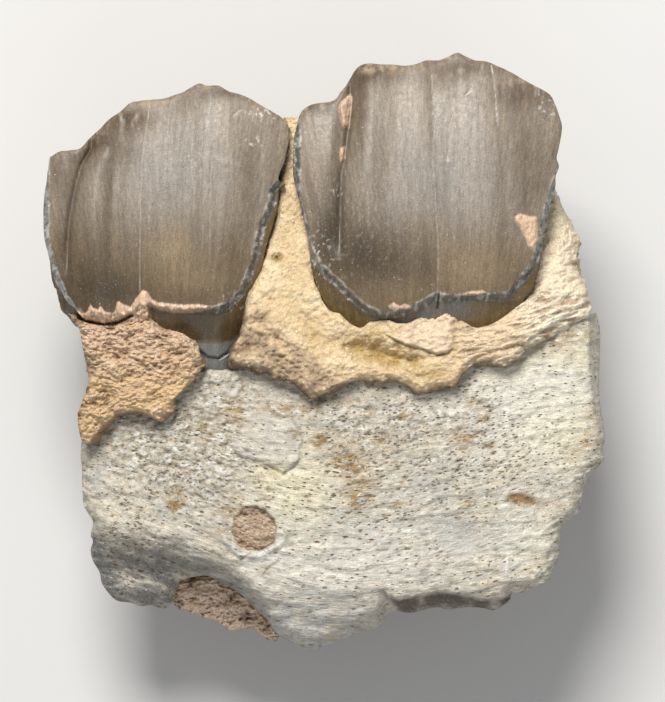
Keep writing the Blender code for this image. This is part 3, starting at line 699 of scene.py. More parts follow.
enamelLook = {
    "name": "brown fossil enamel",
    "base": (0.184, 0.145, 0.103),
    "clouds": [(0.9, (1.0, 0.05, 0.05), 0.42, 0.66, (0.220, 0.181, 0.138)),
               (2.6, (1.0, 0.04, 0.05), 0.52, 0.70, (0.128, 0.094, 0.062)),
               (0.5, (1.0, 0.35, 0.3), 0.45, 0.70, (0.200, 0.148, 0.096))],
    # the pale and low tints are partly painted light: lighter on the upper wall, darker towards the base
    "layers": [("pale", (0.225, 0.197, 0.168)), ("low", (0.130, 0.091, 0.046)),
               ("streak", (0.095, 0.070, 0.045)), ("glow", (0.215, 0.160, 0.095)),
               # the tint of the spots low on the wall is painted shade
               ("amber", (0.114, 0.076, 0.030)), ("dark", (0.046, 0.032, 0.018)),
               # the groove tint is painted shade in the furrow
               ("groove", (0.085, 0.067, 0.051)),
               ("brown", (0.074, 0.046, 0.023)), ("worn", (0.27, 0.210, 0.140)),
               ("slate", (0.106, 0.094, 0.076)),
               ("root", (0.122, 0.122, 0.112)), ("dentine", (0.36, 0.270, 0.160)),
               ("hollow", (0.130, 0.098, 0.065)), ("rim", (0.140, 0.131, 0.117)),
               # the chip tint covers the rim's chips and a painted highlight on the plate's edge
               ("chip", (0.36, 0.345, 0.32)), ("white", (0.56, 0.535, 0.49)),
               # the gap tint is painted shade
               ("clay", (0.52, 0.370, 0.255)), ("gap", (0.03, 0.024, 0.018))],
    "shades": [(1.6, (1.0, 0.10, 0.2), 0.82, 1.16), (5.0, (1.0, 0.22, 1.0), 0.80, 1.20),
               (8.0, None, 0.76, 1.26)],
    "specks": [(4.5, 0.71, 0.74, (0.36, 0.335, 0.30)), (9.0, 0.66, 0.72, (0.27, 0.245, 0.210))],
    "pores": [],
    "glossGrain": (3.0, 3.0),
    "roughness": (0.34, 0.52),
    "glossBy": [("clay", 0.95), ("brown", 0.72), ("worn", 0.85), ("dentine", 0.75), ("amber", 0.22),
                ("rim", 0.26), ("white", 0.8)],
    "ior": 1.5,
    "specular": 0.5,
    "bumps": [(4.0, (1.6, 0.5, 1.0), 0.012), (11.0, None, 0.010)],
}


# The jaw bone

jawBone = {
    "name": "jawBone",
    "node": "maxilla_bone",
    "cells": (300, 192, 40),
    "cheekHeight": 23,
    "browDrop": 4.4,
    "bottomDrop": 2.4,
    "edgeDrop": 1.5,  # how far the broken edges round off, and over what width
    "edgeWidth": 1.3,
    "middle": (1, -9.5),  # the broken sides draw in towards this place
    "flatSpot": (0.5, -8.5, 12, 7),  # what it rests on: its middle and half sizes
    "left": [(-19.6, -21.9), (-20.2, -21), (-20.4, -20), (-21, -19), (-21.2, -18), (-21, -17.2),
        (-21.2, -16.6), (-21, -15.4), (-21.6, -14.4), (-21.9, -13.5), (-22, -10.7), (-22.1, -8.9),
        (-21.7, -6), (-21.3, -2.5), (-20.8, 1.2)],
    "right": [(20.5, -20.7), (20.8, -19.8), (21.3, -18.6), (21.4, -17.1), (21.5, -16), (22.2, -15.3),
        (23.2, -14.5), (23.3, -13.9), (23.5, -13), (23.9, -11.5), (24.7, -10.7), (25.4, -9.8),
        (25.3, -8.9), (25.5, -8), (25.4, -6.6), (25.1, -4.8), (25, -2.5), (25.1, 1.1), (25, 2.5),
        (24.7, 3.6)],
    "top": [(-20.8, 1.2), (-12, 1.6), (-5, 1), (1, 1.4), (8, 1.8), (15, 1.5), (19, 1.9), (22.5, 2.8),
        (24.7, 3.6)],
    "bottom": [(-19.6, -21.9), (-18.8, -22.6), (-17.5, -22.8), (-16.6, -23.1), (-15.7, -23),
        (-14.7, -23.3), (-14.1, -23), (-13.7, -21.9), (-13.3, -21), (-12.5, -20.6), (-10.8, -20.3),
        (-9.7, -20.8), (-8.7, -21.3), (-7.7, -21.9), (-6.8, -22.7), (-5.8, -23.7), (-5, -24.5),
        (-4.2, -25.7), (-3.1, -26.3), (-2.4, -26.8), (-1.5, -27), (-0.5, -26.9), (0.5, -26.5), (1.9, -26),
        (3.3, -25.4), (4.6, -25.1), (5.4, -24.4), (5.8, -23.7), (6.5, -23.6), (8, -23.7), (9.2, -23.4),
        (10.5, -23.2), (11.2, -23.4), (13.3, -23.2), (14.6, -23.3), (15.3, -23.5), (16, -23.2),
        (16.9, -22.5), (17, -21.9), (17.8, -21.9), (18.7, -21.6), (19.6, -21.2), (20.5, -20.7)],
    # the brow, below which the lower left corner falls away: pairs of X and Y
    "brow": [(-24, -14.5), (-20.4, -15.3), (-16.7, -15.9), (-13.1, -16.6), (-10.8, -17.5), (-8.5, -18.7),
        (-6.9, -20), (-5.6, -21.6), (-4.9, -23.6), (-4.2, -25.6), (-2, -32)],
    # the front's lower edge at the right, below which the broken side shows: pairs of X and Y
    "lowEdge": [(5.4, -21.6), (5.8, -22.1), (6.9, -22.4), (7.8, -22.2), (9.2, -21.9), (10.5, -21.7),
        (12.4, -21.9), (14.2, -22.4), (15.5, -22.4), (17.2, -22)],
    "flank": [(23.5, 5.6), (24.2, 2), (24, 0.2), (24.2, -1.6), (24.4, -3.9), (24.6, -5.7), (25.4, -7.6)],
    "plug": (-6.4, -16.1, 2.05),
    "rootWindow": (-9.6, 1.85, -1.75),  # X of its middle, half its width, and Y of its lower edge
    "flake": [(-5.4, -4.6), (-4.6, -5.6), (-3.9, -6.1), (-3.1, -6), (-2.3, -6.9), (-2, -7.8),
        (-2.2, -8.9), (-2.3, -9.8), (-3.1, -10.6), (-3.7, -11), (-4.6, -10.5), (-5.8, -9.9), (-7.2, -9.6),
        (-8.3, -9), (-8, -7.6), (-7.4, -6.2), (-6.6, -5.2)],
    "scar": [(8.5, -15.1), (9.7, -16.4), (10.5, -17.5), (11.3, -18.7), (12.4, -19), (13.5, -18.5),
        (14.2, -17.1), (14, -15.7), (12.5, -14.9), (10.5, -14.7)],
    "cracks": [[(-13.8, -10), (-12.8, -10.7), (-12.2, -12.1), (-11.5, -13), (-10.8, -13.5)],
        [(-7.6, -18.9), (-7.1, -18.5), (-6.7, -18.3)], [(-5.6, -20.3), (-5.1, -19.6), (-4, -18.9)]],
    "seam": [(16.7, -3.9), (16.5, -8), (16.5, -13.5), (16.6, -18.9), (16.5, -21.8)],
    "stainGroove": [(17.1, -13.2), (18.2, -13.4), (20.1, -13.8), (21.5, -13.9)],
    # grey patches of the bone, and on the bottom lobe a wide spot of painted shade where it slopes away:
    # middle, half sizes and strength
    "greyish": [(-10.3, -11.6, 1.8, 1.3, 0.8), (-20.4, -11.3, 1.2, 1.5, 0.8), (4.9, -4.6, 2.5, 0.9, 0.7),
        (9.1, -12.1, 3.2, 2.2, 0.7), (11.9, -16.3, 2.8, 2.2, 0.7), (20, -12, 2.2, 1.1, 0.8),
        (1.7, -14.8, 2.8, 1.6, 0.6), (-1.5, -25, 5, 2.6, 1.2), (3, -17, 5, 2, 0.5),
        (-17.5, -6.9, 2, 1, 0.5), (-13.5, -14.6, 3, 1, 0.7)],
    "yellowish": [(-3.4, -12.4, 2.4, 2.6, 0.7), (-4.8, -11, 1.4, 0.8, 0.7), (22.5, -0.4, 2.4, 1.6, 0.5),
        (22.6, -8.4, 2, 1.6, 0.5), (0, -13, 3, 3, 0.4), (16.5, 0.2, 3.5, 1, 0.5)],
    "dusty": [(-7.8, -5.5, 1.6, 1, 1.2), (-11.1, -7.5, 0.9, 0.9, 1.3), (-8.3, -14.3, 1.8, 1.1, 1),
        (11.2, -7.2, 3, 1.2, 0.6), (21, 0.9, 3.2, 1.2, 0.7), (-5.4, -11.4, 1.2, 0.7, 0.7),
        (3, -4.2, 5, 0.7, 0.7), (-12, -5.6, 1.6, 0.8, 0.6), (6, -9, 3, 1.2, 0.4)],
    # stains: middle, half sizes and strength
    "ochre": [(2, -9.9, 1.4, 1.2, 1.2), (3.3, -12.4, 1.3, 1.7, 0.8), (2.8, -13.8, 0.5, 0.9, 0.7),
        (0.3, -7.9, 1.2, 0.6, 0.8), (12.9, -7.9, 1, 0.8, 0.9), (14.7, -5.9, 0.8, 0.5, 0.9),
        (7.5, -5.8, 0.9, 0.5, 0.9), (13.6, -4.5, 0.9, 0.6, 0.8), (24, -8.1, 0.7, 0.9, 0.9),
        (5.4, -7.9, 0.9, 0.6, 0.8), (15, -8.5, 0.6, 0.4, 0.8), (3.9, -5.6, 0.7, 0.4, 0.7),
        (-2.6, -7.4, 0.7, 0.6, 0.7), (22.7, -9.4, 0.9, 0.6, 0.5), (24.2, -5.9, 1, 0.9, 0.4),
        (-11.6, -6.3, 0.6, 0.6, 0.8), (-8.4, -4.9, 0.9, 0.9, 0.5), (22.6, 1.5, 1.8, 0.7, 0.6),
        (6.6, -13.9, 0.8, 0.4, 0.7), (13.4, -13.9, 1.2, 0.5, 0.5), (-9.6, -16.3, 1.1, 0.5, 0.6),
        (19.6, -18.6, 0.8, 0.6, 0.5), (-3.2, -5.3, 2.4, 0.5, 0.9), (-0.6, -8.2, 0.6, 0.8, 0.9),
        (-13.5, -13.6, 0.8, 1, 1.5)],
    "rust": [(-13.7, -13.6, 0.4, 0.5, 0.6), (17.6, -13.4, 0.8, 0.45, 1), (18.9, -13.6, 0.5, 0.3, 0.7),
        (2.2, -10.3, 0.5, 0.3, 0.8), (1.6, -9.2, 0.4, 0.4, 0.5)],
    "cream": [(-2.5, -12.5, 3.4, 3.6, 0.9), (-5, -10.8, 1.2, 1, 0.8), (21, -6.5, 5, 4.6, 0.9),
        (19, -1, 5, 3.2, 1), (19.5, -17.5, 2.4, 3.4, 0.6), (0, -17.5, 4, 1.6, 0.4)],
    # pale patches of the bone; the narrow spot at the foramen's lower lip is a painted highlight
    "white": [(5, -18.5, 6, 3.5, 0.6), (-5, -18.8, 2.6, 0.5, 1), (17, -16.5, 2.4, 2.4, 0.5),
        (-1.5, -21, 4, 2, 0.5), (13.2, -6.4, 3.8, 2.6, 0.8), (21.6, -2.2, 2.6, 2.8, 0.6),
        (12.6, -17.6, 2.2, 1.3, 0.6), (8.5, -5.2, 4, 1.4, 0.5), (-12.6, -3.8, 1.6, 1.4, 0.5),
        (17, -4, 3, 2, 0.5)],
    "crumbly": [(-16, -8.5, 5, 3.6, 1), (-10.5, -9, 4.5, 5.5, 1), (-9, -3.5, 3, 2, 1),
        (4.5, -7, 5, 3, 0.9), (-1, -4.6, 3, 1.2, 0.7), (12, -5.5, 3, 1.6, 0.6)],
    "speckled": [(-9.5, -9.5, 4.5, 4, 1), (-9, -13.2, 3, 1.2, 1), (-17, -8.5, 4, 3.5, 0.7),
        (5, -6.5, 5.5, 2.8, 1), (11, -8, 5, 4, 0.9), (-15, -12, 4, 2.6, 0.6), (2.5, -11, 4, 3.5, 0.7),
        (15, -5.5, 2.5, 2, 0.8), (17, -10, 6, 3, 0.5), (0, -14.5, 10, 4, 0.35), (8, -18.5, 8, 4, 0.3),
        (-17.5, -17.5, 4, 3, 0.9), (-16, -21, 3.5, 2, 0.7)],
}


def boneFlow(x, y):
    # lengths along and across the bone's fibres, which turn from falling at the left to rising
    # at the right
    turn = np.radians(-17 + 26 * smooth((x + 20) / 42)) * smooth(1.15 - (y + 14) / 14)
    return x * np.cos(turn) + y * np.sin(turn), y * np.cos(turn) - x * np.sin(turn)


def boneShape(b, x, y):
    # The cheek surface's height without its grain: a low dome that falls away below the brow, at its
    # broken edges, under the low edge and past the flank. It also gives how far below the brow each
    # place is, and where the strip under the low edge shows
    height = b["cheekHeight"] - 0.0022 * (x - 5) ** 2 - 0.004 * (y + 9) ** 2
    under = np.interp(x, *np.transpose(b["brow"])) - y
    height = height - b["browDrop"] * smooth(0.8 * under / 3.8)
    height = height - b["bottomDrop"] * smooth((-20.5 - y) / 6.5)
    height = height + 0.30 * noise(x / 4.5, y / 4.5, 0.3, 30) + 0.14 * rough(x / 1.6, y / 1.6, 0, 3, 31)

    outline = b["left"][::-1] + b["bottom"][1:] + b["right"][1:]
    edge = distanceTo(x, y, outline) + 0.25 * rough(x * 1.4, y * 1.4, 4.0, 3, 32)
    height = height - b["edgeDrop"] * np.maximum(0, 1 - edge / b["edgeWidth"]) ** 2
    lowEdge = np.interp(x, *np.transpose(b["lowEdge"])) - y + 0.10 * rough(x * 1.3, y, 2.0, 3, 33)
    belowEdge = smooth((x - 4.8 - 1.2 * lowEdge) / 1.2) * smooth((17.5 - x - 0.7 * lowEdge) / 0.8)
    fall = smooth((x - 4.6) / 2.6) * smooth((17.5 - x - 0.7 * lowEdge) / 1.0)
    height = height - fall * (1.5 * smooth(lowEdge / 0.25) + 1.8 * np.maximum(0, lowEdge)
                              + 0.2 * smooth(lowEdge / 0.3) * rough(x * 1.2, y * 2, 1, 3, 27))
    strip = belowEdge * smooth(lowEdge / 0.3)
    flankX = np.interp(-y, *np.transpose([(-p[1], p[0]) for p in b["flank"]]))
    past = smooth((y + 8.0) / 0.8) * (x - flankX + 0.05 * rough(x, y * 1.5, 3.0, 3, 34))
    height = height - 0.5 * smooth(past / 0.2) - 0.6 * np.maximum(0, past)
    return height, under, strip


def boneHoles(b, x, y):
    # the foramen, the raised lip along its lower side, and the hole in which the root shows
    plugX, plugY, radius = b["plug"]
    reach = np.hypot((x - plugX) / 1.06, (y - plugY) / 0.97)
    reach = reach + 0.45 * rough(x * 0.55, y * 0.55, 2.0, 3, 35)
    hole = smooth((radius + 0.02 - reach) / 0.18)
    lip = bell((reach - radius - 0.45) / 0.24) * smooth((plugY + 0.3 - y) / 1.6)
    middle, half, lower = b["rootWindow"]
    window = smooth((y - lower + 0.08 * noise(x * 2, y, 1.0, 36)) / 0.35) * smooth(
        (half - np.abs(x - middle)) / 0.35)
    return hole, lip, window


def boneGrain(b, x, y, under, calm):
    # Fibres along the bone, crumbs where it is broken up, and pores in some of a scatter of random
    # cells. It also gives the speckled and the crumbly share, and the gaps between the crumbs
    along, acrossIt = boneFlow(x, y)
    speckled = np.clip(spots(x, y, b["speckled"]) + 0.25, 0, 1)
    crumbly = np.clip(spots(x, y, b["crumbly"]), 0, 1) * calm
    lumpGap = scattered((x * 1.7 + 0.8 * noise(x, y, 0, 38), y * 2.4 + 0.8 * noise(x, y, 4, 39)), 37)[0]
    fibres = (0.050 * ridged(along * 0.34, acrossIt * 1.7, 0.0, 3, 40)
              + 0.040 * noise(along * 0.9, acrossIt * 3.4, 2.0, 41)) * (calm - 0.7 * crumbly)
    fibres = fibres + 0.10 * rough(x * 1.1, y * 1.3, 3.0, 4, 49) * calm
    fibres = fibres + 0.26 * rough(along * 0.55, acrossIt * 2.2, 8.0, 4, 63, 0.6) * smooth(under / 2.0)
    fibres = fibres + (0.20 * (0.4 - lumpGap) + 0.30 * rough(x * 1.8, y * 2.2, 5.0, 4, 36, 0.65)) * crumbly
    pores = np.zeros(x.shape)
    for size, long, share, seed in ((1.5, 0.42, 0.28, 42), (2.6, 0.50, 0.45, 43)):
        fibre = along * size * long + 0.2 * noise(x, y, 0, seed)
        near, own = scattered((fibre, acrossIt * size), seed)
        some = own < share * (0.15 + 0.85 * speckled)
        pores = np.maximum(pores, some * smooth((0.20 + 0.10 * own - near) / 0.10))
    pores = pores * calm * (0.35 + 0.65 * speckled) * (1 - 0.6 * crumbly)
    return fibres, pores, speckled, crumbly, lumpGap


def boneFront(b, x, y):
    # Height of the bone's cheek surface and its marks: its shape, its grain and holes, and on them a
    # flake, a smooth scar, cracks, a pale seam, a stained groove and overlapping plates
    height, under, strip = boneShape(b, x, y)
    hole, lip, window = boneHoles(b, x, y)
    along, acrossIt = boneFlow(x, y)
    scar = smooth(depthInside(x, y, b["scar"]) / 0.55 + 0.3) * smooth((-14.9 - y) / 1.5)
    calm = (1 - 0.9 * scar) * (1 - strip)
    fibres, pores, speckled, crumbly, lumpGap = boneGrain(b, x, y, under, calm)
    flakeDepth = depthInside(x, y, b["flake"]) + 0.10 * rough(x * 1.6, y * 1.6, 2, 3, 29)
    flake = smooth(flakeDepth / 0.14 + 0.2)
    cracks = np.zeros(x.shape)
    for line in b["cracks"]:
        cracks = np.maximum(cracks, 0.8 * nearLine(x, y, line, 0.09))
    # the flake's lower right outline takes the cracks' dark tint: painted shadow under its raised edge
    flakeShadowSide = smooth((x + 0.5 * y + 8.6) / 1.2) + smooth((-9.0 - y) / 1.0)
    cracks = np.maximum(cracks, 0.45 * bell((flakeDepth + 0.10) / 0.10) * np.minimum(flakeShadowSide, 1))
    seam = nearLine(x, y, b["seam"], 0.18) * smooth(0.4 + rough(x * 1.5, y * 0.9, 0, 3, 45))
    trench = nearLine(x, y, b["stainGroove"], 0.45) * (1 - 0.75 * smooth(x - 18.6))
    plates = 0.16 * smooth(4.0 * noise(along * 0.35, acrossIt * 0.9, 3.0, 46)) * calm
    height = (height + fibres * (1 - 0.6 * flake) - 0.20 * pores + 0.34 * flake - 0.16 * scar
              - 0.14 * cracks + 0.03 * seam - 0.45 * trench + plates + 0.42 * lip
              - 1.5 * hole - 2.6 * window)

    marks = {
        "cream": spots(x, y, b["cream"]),
        # pale patches, and a painted highlight on the raised lip below the foramen
        "white": spots(x, y, b["white"]) + 0.8 * lip,
        # grey patches, and painted shade on the bottom lobe
        "greyish": spots(x, y, b["greyish"]) * smooth(0.7 + rough(x * 0.6, y * 0.8, 2, 3, 24)),
        "dusty": spots(x, y, b["dusty"]) * smooth(0.6 + 1.6 * rough(x * 0.8, y * 1.0, 5, 4, 23)),
        "ochre": spots(x, y, b["ochre"]) * smooth(0.8 + 3.4 * rough(along * 1.1, acrossIt * 2.2, 1, 4, 47)),
        "rust": spots(x, y, b["rust"]) * smooth(0.75 + 1.6 * rough(along * 1.3, acrossIt * 2.6, 1, 3, 48)),
        "speckle": speckled * calm * (1 - hole) * (1 - 0.7 * flake),
        "crumbly": crumbly * smooth(1.4 * lumpGap - 0.35
                                    + 1.9 * rough(x * 1.6, y * 2.2, 3, 4, 28, 0.65)),
        "grains": crumbly * smooth(2.4 * rough(x * 1.3, y * 1.7, 6, 4, 22, 0.7)),
        "yellowish": spots(x, y, b["yellowish"]) * smooth(0.8 + rough(x * 0.7, y * 0.7, 7, 3, 59)),
        "plate": flake * (0.35 + 0.5 * smooth((x + 8) / 4)),
        # painted shade below the brow, where the lower left falls away from the lamp, plus the scar's own
        # grey
        "grey": smooth(under / 3.0) * smooth((-3.0 - x) / 3.0) * smooth(
            0.75 + 0.9 * rough(along * 0.5, acrossIt * 1.4, 2, 4, 21)) + 0.35 * scar,
        "pore": pores * (0.75 + 0.25 * smooth(4 * rough(x, y, 9, 2, 60))),
        "crack": cracks,
        "seam": 0.95 * seam,
        "shadow": 0.94 * strip,
        "trench": trench,
    }
    return height, marks


def makeBone(b, finish):
    front = patch(b["left"], b["right"], b["bottom"], b["top"])

    def place(u, v, w):
        # the broken sides draw in towards the back, which rises round the flat spot it rests on
        x, y = front(u, v)
        top, marks = boneFront(b, x, y)
        x, y = lineUp(x, y, top)
        middleX, middleY = b["middle"]
        away = np.hypot(middleX - x, middleY - y)
        toX, toY = (middleX - x) / away, (middleY - y) / away
        rimCells = np.minimum(np.minimum(u, 1 - u) * 44, np.minimum(v, 1 - v) * 24)
        shift = 1.1 * rough(x / 2.1, y / 2.1, w * 8, 2, 61)
        near = scattered((x * 0.85 + shift, y * 0.85 - shift, w * 11 + shift), 50)[0]
        small = scattered((x * 1.5 + 4 - shift, y * 1.5 + shift, w * 17 + shift), 51)[0]
        broken = smooth((0.96 - w) / 0.06)
        sponge = smooth((0.70 - near) / 0.50) * 0.42 + smooth((0.60 - small) / 0.4) * 0.12
        knobs = 1.4 * rough(x / 2.8, y / 2.8, w * 5.5, 3, 52) + 0.35 + sponge
        body = 4 * w * (1 - w) * np.maximum(0, 1 - rimCells / 3)
        draw = 0.14 * (1 - w) ** 1.5
        inwards = draw * away + body * np.maximum(knobs, -0.25)
        x, y = x + toX * inwards, y + toY * inwards
        flatX, flatY, halfX, halfY = b["flatSpot"]
        reach = np.hypot((x - flatX) / halfX, (y - flatY) / halfY)
        rise = np.minimum(7.5 * np.maximum(reach - 1, 0) ** 0.8, 9.0)
        rise = rise * (1 + 0.3 * rough(x / 3, y / 3, 5.0, 3, 53))
        backPits = sponge * smooth(rise / 0.4) * 1.2 + 0.35 * smooth(rise / 1.5) * rough(x, y, 3.0, 3, 54)
        back = np.maximum(0, rise + backPits)
        z = back + (top - back) * w
        ragged = smooth((w - 0.76 - 0.30 * rough(x * 0.6, y * 0.6, w * 9, 3, 62)) / 0.30)
        for key in marks:
            marks[key] = marks[key] * (ragged if key == "shadow" else 1 - broken)
        marks["sponge"] = smooth((0.60 - near) / 0.2) * broken
        marks["broken"] = broken
        along, acrossIt = boneFlow(x, y)
        marks["flow"] = (along, acrossIt, z)
        return x, y, z, marks

    build(b, place, finish)


boneLook = {
    "name": "weathered fossil bone",
    "base": (0.555, 0.512, 0.418),
    "clouds": [(0.35, (1.0, 1.6, 1.0), 0.42, 0.60, (0.460, 0.438, 0.378)),
               (0.8, (0.8, 1.3, 1.0), 0.50, 0.66, (0.600, 0.525, 0.395)),
               (1.3, (0.5, 1.5, 1.0), 0.50, 0.68, (0.660, 0.640, 0.565)),
               (3.2, (0.50, 1.4, 1.0), 0.54, 0.68, (0.400, 0.340, 0.250))],
    # the first tint is painted shade below the brow, with the scar's grey
    "layers": [("grey", (0.230, 0.226, 0.206)), ("cream", (0.695, 0.655, 0.525)),
               # the grey patches' tint also paints shade on the bottom lobe; the white tint also paints a
               # highlight on the lip under the foramen
               ("white", (0.660, 0.645, 0.585)), ("greyish", (0.450, 0.446, 0.414)),
               ("crumbly", (0.355, 0.300, 0.218)), ("grains", (0.680, 0.660, 0.600)),
               ("plate", (0.560, 0.525, 0.465)), ("yellowish", (0.600, 0.550, 0.370)),
               ("dusty", (0.430, 0.345, 0.235)),
               ("ochre", (0.320, 0.212, 0.085)), ("rust", (0.210, 0.100, 0.033)),
               ("trench", (0.270, 0.155, 0.068)), ("seam", (0.800, 0.785, 0.730)),
               ("broken", (0.455, 0.390, 0.280)), ("sponge", (0.300, 0.232, 0.150)),
               ("shadow", (0.092, 0.071, 0.050)), ("crack", (0.200, 0.160, 0.105)),
               ("pore", (0.200, 0.127, 0.060))],
    "specks": [(7.0, 0.64, 0.70, (0.80, 0.78, 0.73))],
    "pores": [((1.1, 2.5, 0.5), 0.27, 0.30, (0.190, 0.128, 0.068)),
              ((1.9, 4.0, 0.5), 0.31, 0.50, (0.240, 0.180, 0.115)),
              ((3.2, 4.4, 0.5), 0.34, 0.18, (0.250, 0.205, 0.145))],
    "poreDepth": 0.08,
    "shades": [(2.2, (0.6, 1.2, 1.0), 0.76, 1.06), (4.5, (0.4, 1.6, 1.0), 0.80, 1.16),
               (9.0, None, 0.80, 1.17)],
    "glossGrain": (2.0, 3.0),
    "roughness": (0.60, 0.80),
    "glossBy": [("pore", 0.95), ("broken", 0.95)],
    "ior": 1.45,
    "specular": 0.30,
    "bumps": [(4.5, (0.5, 1.4, 1.0), 0.13), (10.0, None, 0.04)],
}


# The siltstone

siltstone = {  # what the looks of all siltstone share
    "pores": [],
    "glossGrain": (3.0, 3.0),
    "roughness": (0.85, 0.98),
    "glossBy": [],
    "ior": 1.45,
    "specular": 0.2,
}

tanCrust = {
    "name": "siltstoneUnderFirstMolar",
    "node": "matrix_under_first_molar",
    "cells": (160, 190, 20),
    "top": 24.9,
    "under": 17.5,
    "left": [(-21.5, -8.4), (-22, -8.1), (-22.3, -7.1), (-22.4, -5.8), (-22.1, -4.8), (-21.7, -3.7),
        (-21.4, -2.5), (-21.6, -1.1), (-22, 0.6), (-22.3, 2.2), (-23.2, 3.5)],
    "upper": [(-23.2, 3.5), (-22.2, 2.9), (-21.3, 2.6), (-20, 2.4), (-18.7, 2.6), (-17.5, 3.2),
        (-16.8, 3.6), (-16.2, 3.7)],
    "right": [(-13.4, -5.1), (-13.5, -4.1), (-12.7, -3.4), (-11.8, -2.5), (-11.1, -1.5), (-10.8, -1),
        (-11.2, -0.3), (-11.5, 0.6), (-12, 1.1), (-12.9, 1.7), (-14.3, 2.1), (-15.2, 2.6), (-15.8, 3.1),
        (-16.2, 3.7)],
    "lower": [(-21.5, -8.4), (-21, -8.1), (-20.5, -7.4), (-19.6, -6.5), (-18.8, -5.8), (-17.7, -5.5),
        (-16.7, -5.5), (-15.8, -5.9), (-14.8, -6.4), (-14, -5.8), (-13.4, -5.1)],
}


def makeCrust(c, finish):
    front = patch(c["left"], c["right"], c["lower"], c["upper"])

    def place(u, v, w):
        # level ridges one over the other, crumbly between them, falling at the edge
        x, y = front(u, v)
        rim = np.minimum(np.minimum(u, 1 - u) * 9.5, np.minimum(v, 1 - v) * 11)
        wavy = y + 0.35 * noise(x / 2.2, y / 2.2, 0, 60)
        crumbs = crumble(x, wavy, 61)
        broad = noise(x / 2.6, y / 2.2, 3.0, 65)
        drop = 0.9 * np.maximum(0, 1 - (rim + 0.25 * rough(x, y, 6, 3, 66)) / 0.9) ** 1.5
        smoothPart = smooth((-1.6 - y) / 1.5) * smooth((x + 20.3) / 1.5)
        relief = crumbs * (0.95 - 0.40 * smoothPart) + 0.35 * broad
        top = c["top"] - 0.6 * smooth((-2 - y) / 5) + relief - drop
        sideRough = 0.35 * rough(x, y, 6 * w, 3, 67) * (w < 0.99)
        wide = (1 - w) * (1.2 + 0.5 * noise(y / 2, x / 2, 7, 68)) * (1 - u)
        z = c["under"] + (top - c["under"]) * w
        marks = {
            "pinkish": smooth((y + 0.6) / 2.0) * smooth(0.8 + noise(x / 1.5, y / 1.5, 1, 69)),
            "orange": smooth((-1.2 - y) / 2.0) * smooth(0.75 + noise(x / 2, y, 4, 70)),
            # painted shade in the low places between the lumps
            "dip": smooth(-0.1 - 1.7 * crumbs) * 0.85 * (1 - 0.4 * smoothPart),
            # painted shade along the rim, strongest at the lower edge, which faces away from the lamp
            "edge": smooth(1 - rim / 0.35) * smooth((2 - y) / 3) * 0.6,
            "flow": (x, wavy, z),
        }
        return x + wide + sideRough, y + sideRough * 0.6, z, marks

    build(c, place, finish)


crustLook = {
    **siltstone,
    "name": "tan siltstone",
    "base": (0.56, 0.402, 0.262),
    "clouds": [(0.8, (0.6, 1.4, 1.0), 0.45, 0.68, (0.69, 0.540, 0.395)),
               (3.0, (0.6, 1.4, 1.0), 0.52, 0.70, (0.40, 0.255, 0.145))],
    "layers": [("pinkish", (0.61, 0.450, 0.325)), ("orange", (0.63, 0.455, 0.262)),
               # the dip and edge tints are painted shade: between the lumps and along the rim
               ("dip", (0.21, 0.130, 0.072)), ("edge", (0.22, 0.140, 0.082))],
    "specks": [(5.0, 0.66, 0.73, (0.80, 0.67, 0.51))],
    "shades": [(4.0, (0.6, 1.5, 1.0), 0.80, 1.16), (9.0, None, 0.78, 1.20)],
    "bumps": [(5.0, (0.6, 1.5, 1.0), 0.12), (11.0, None, 0.06)],
}

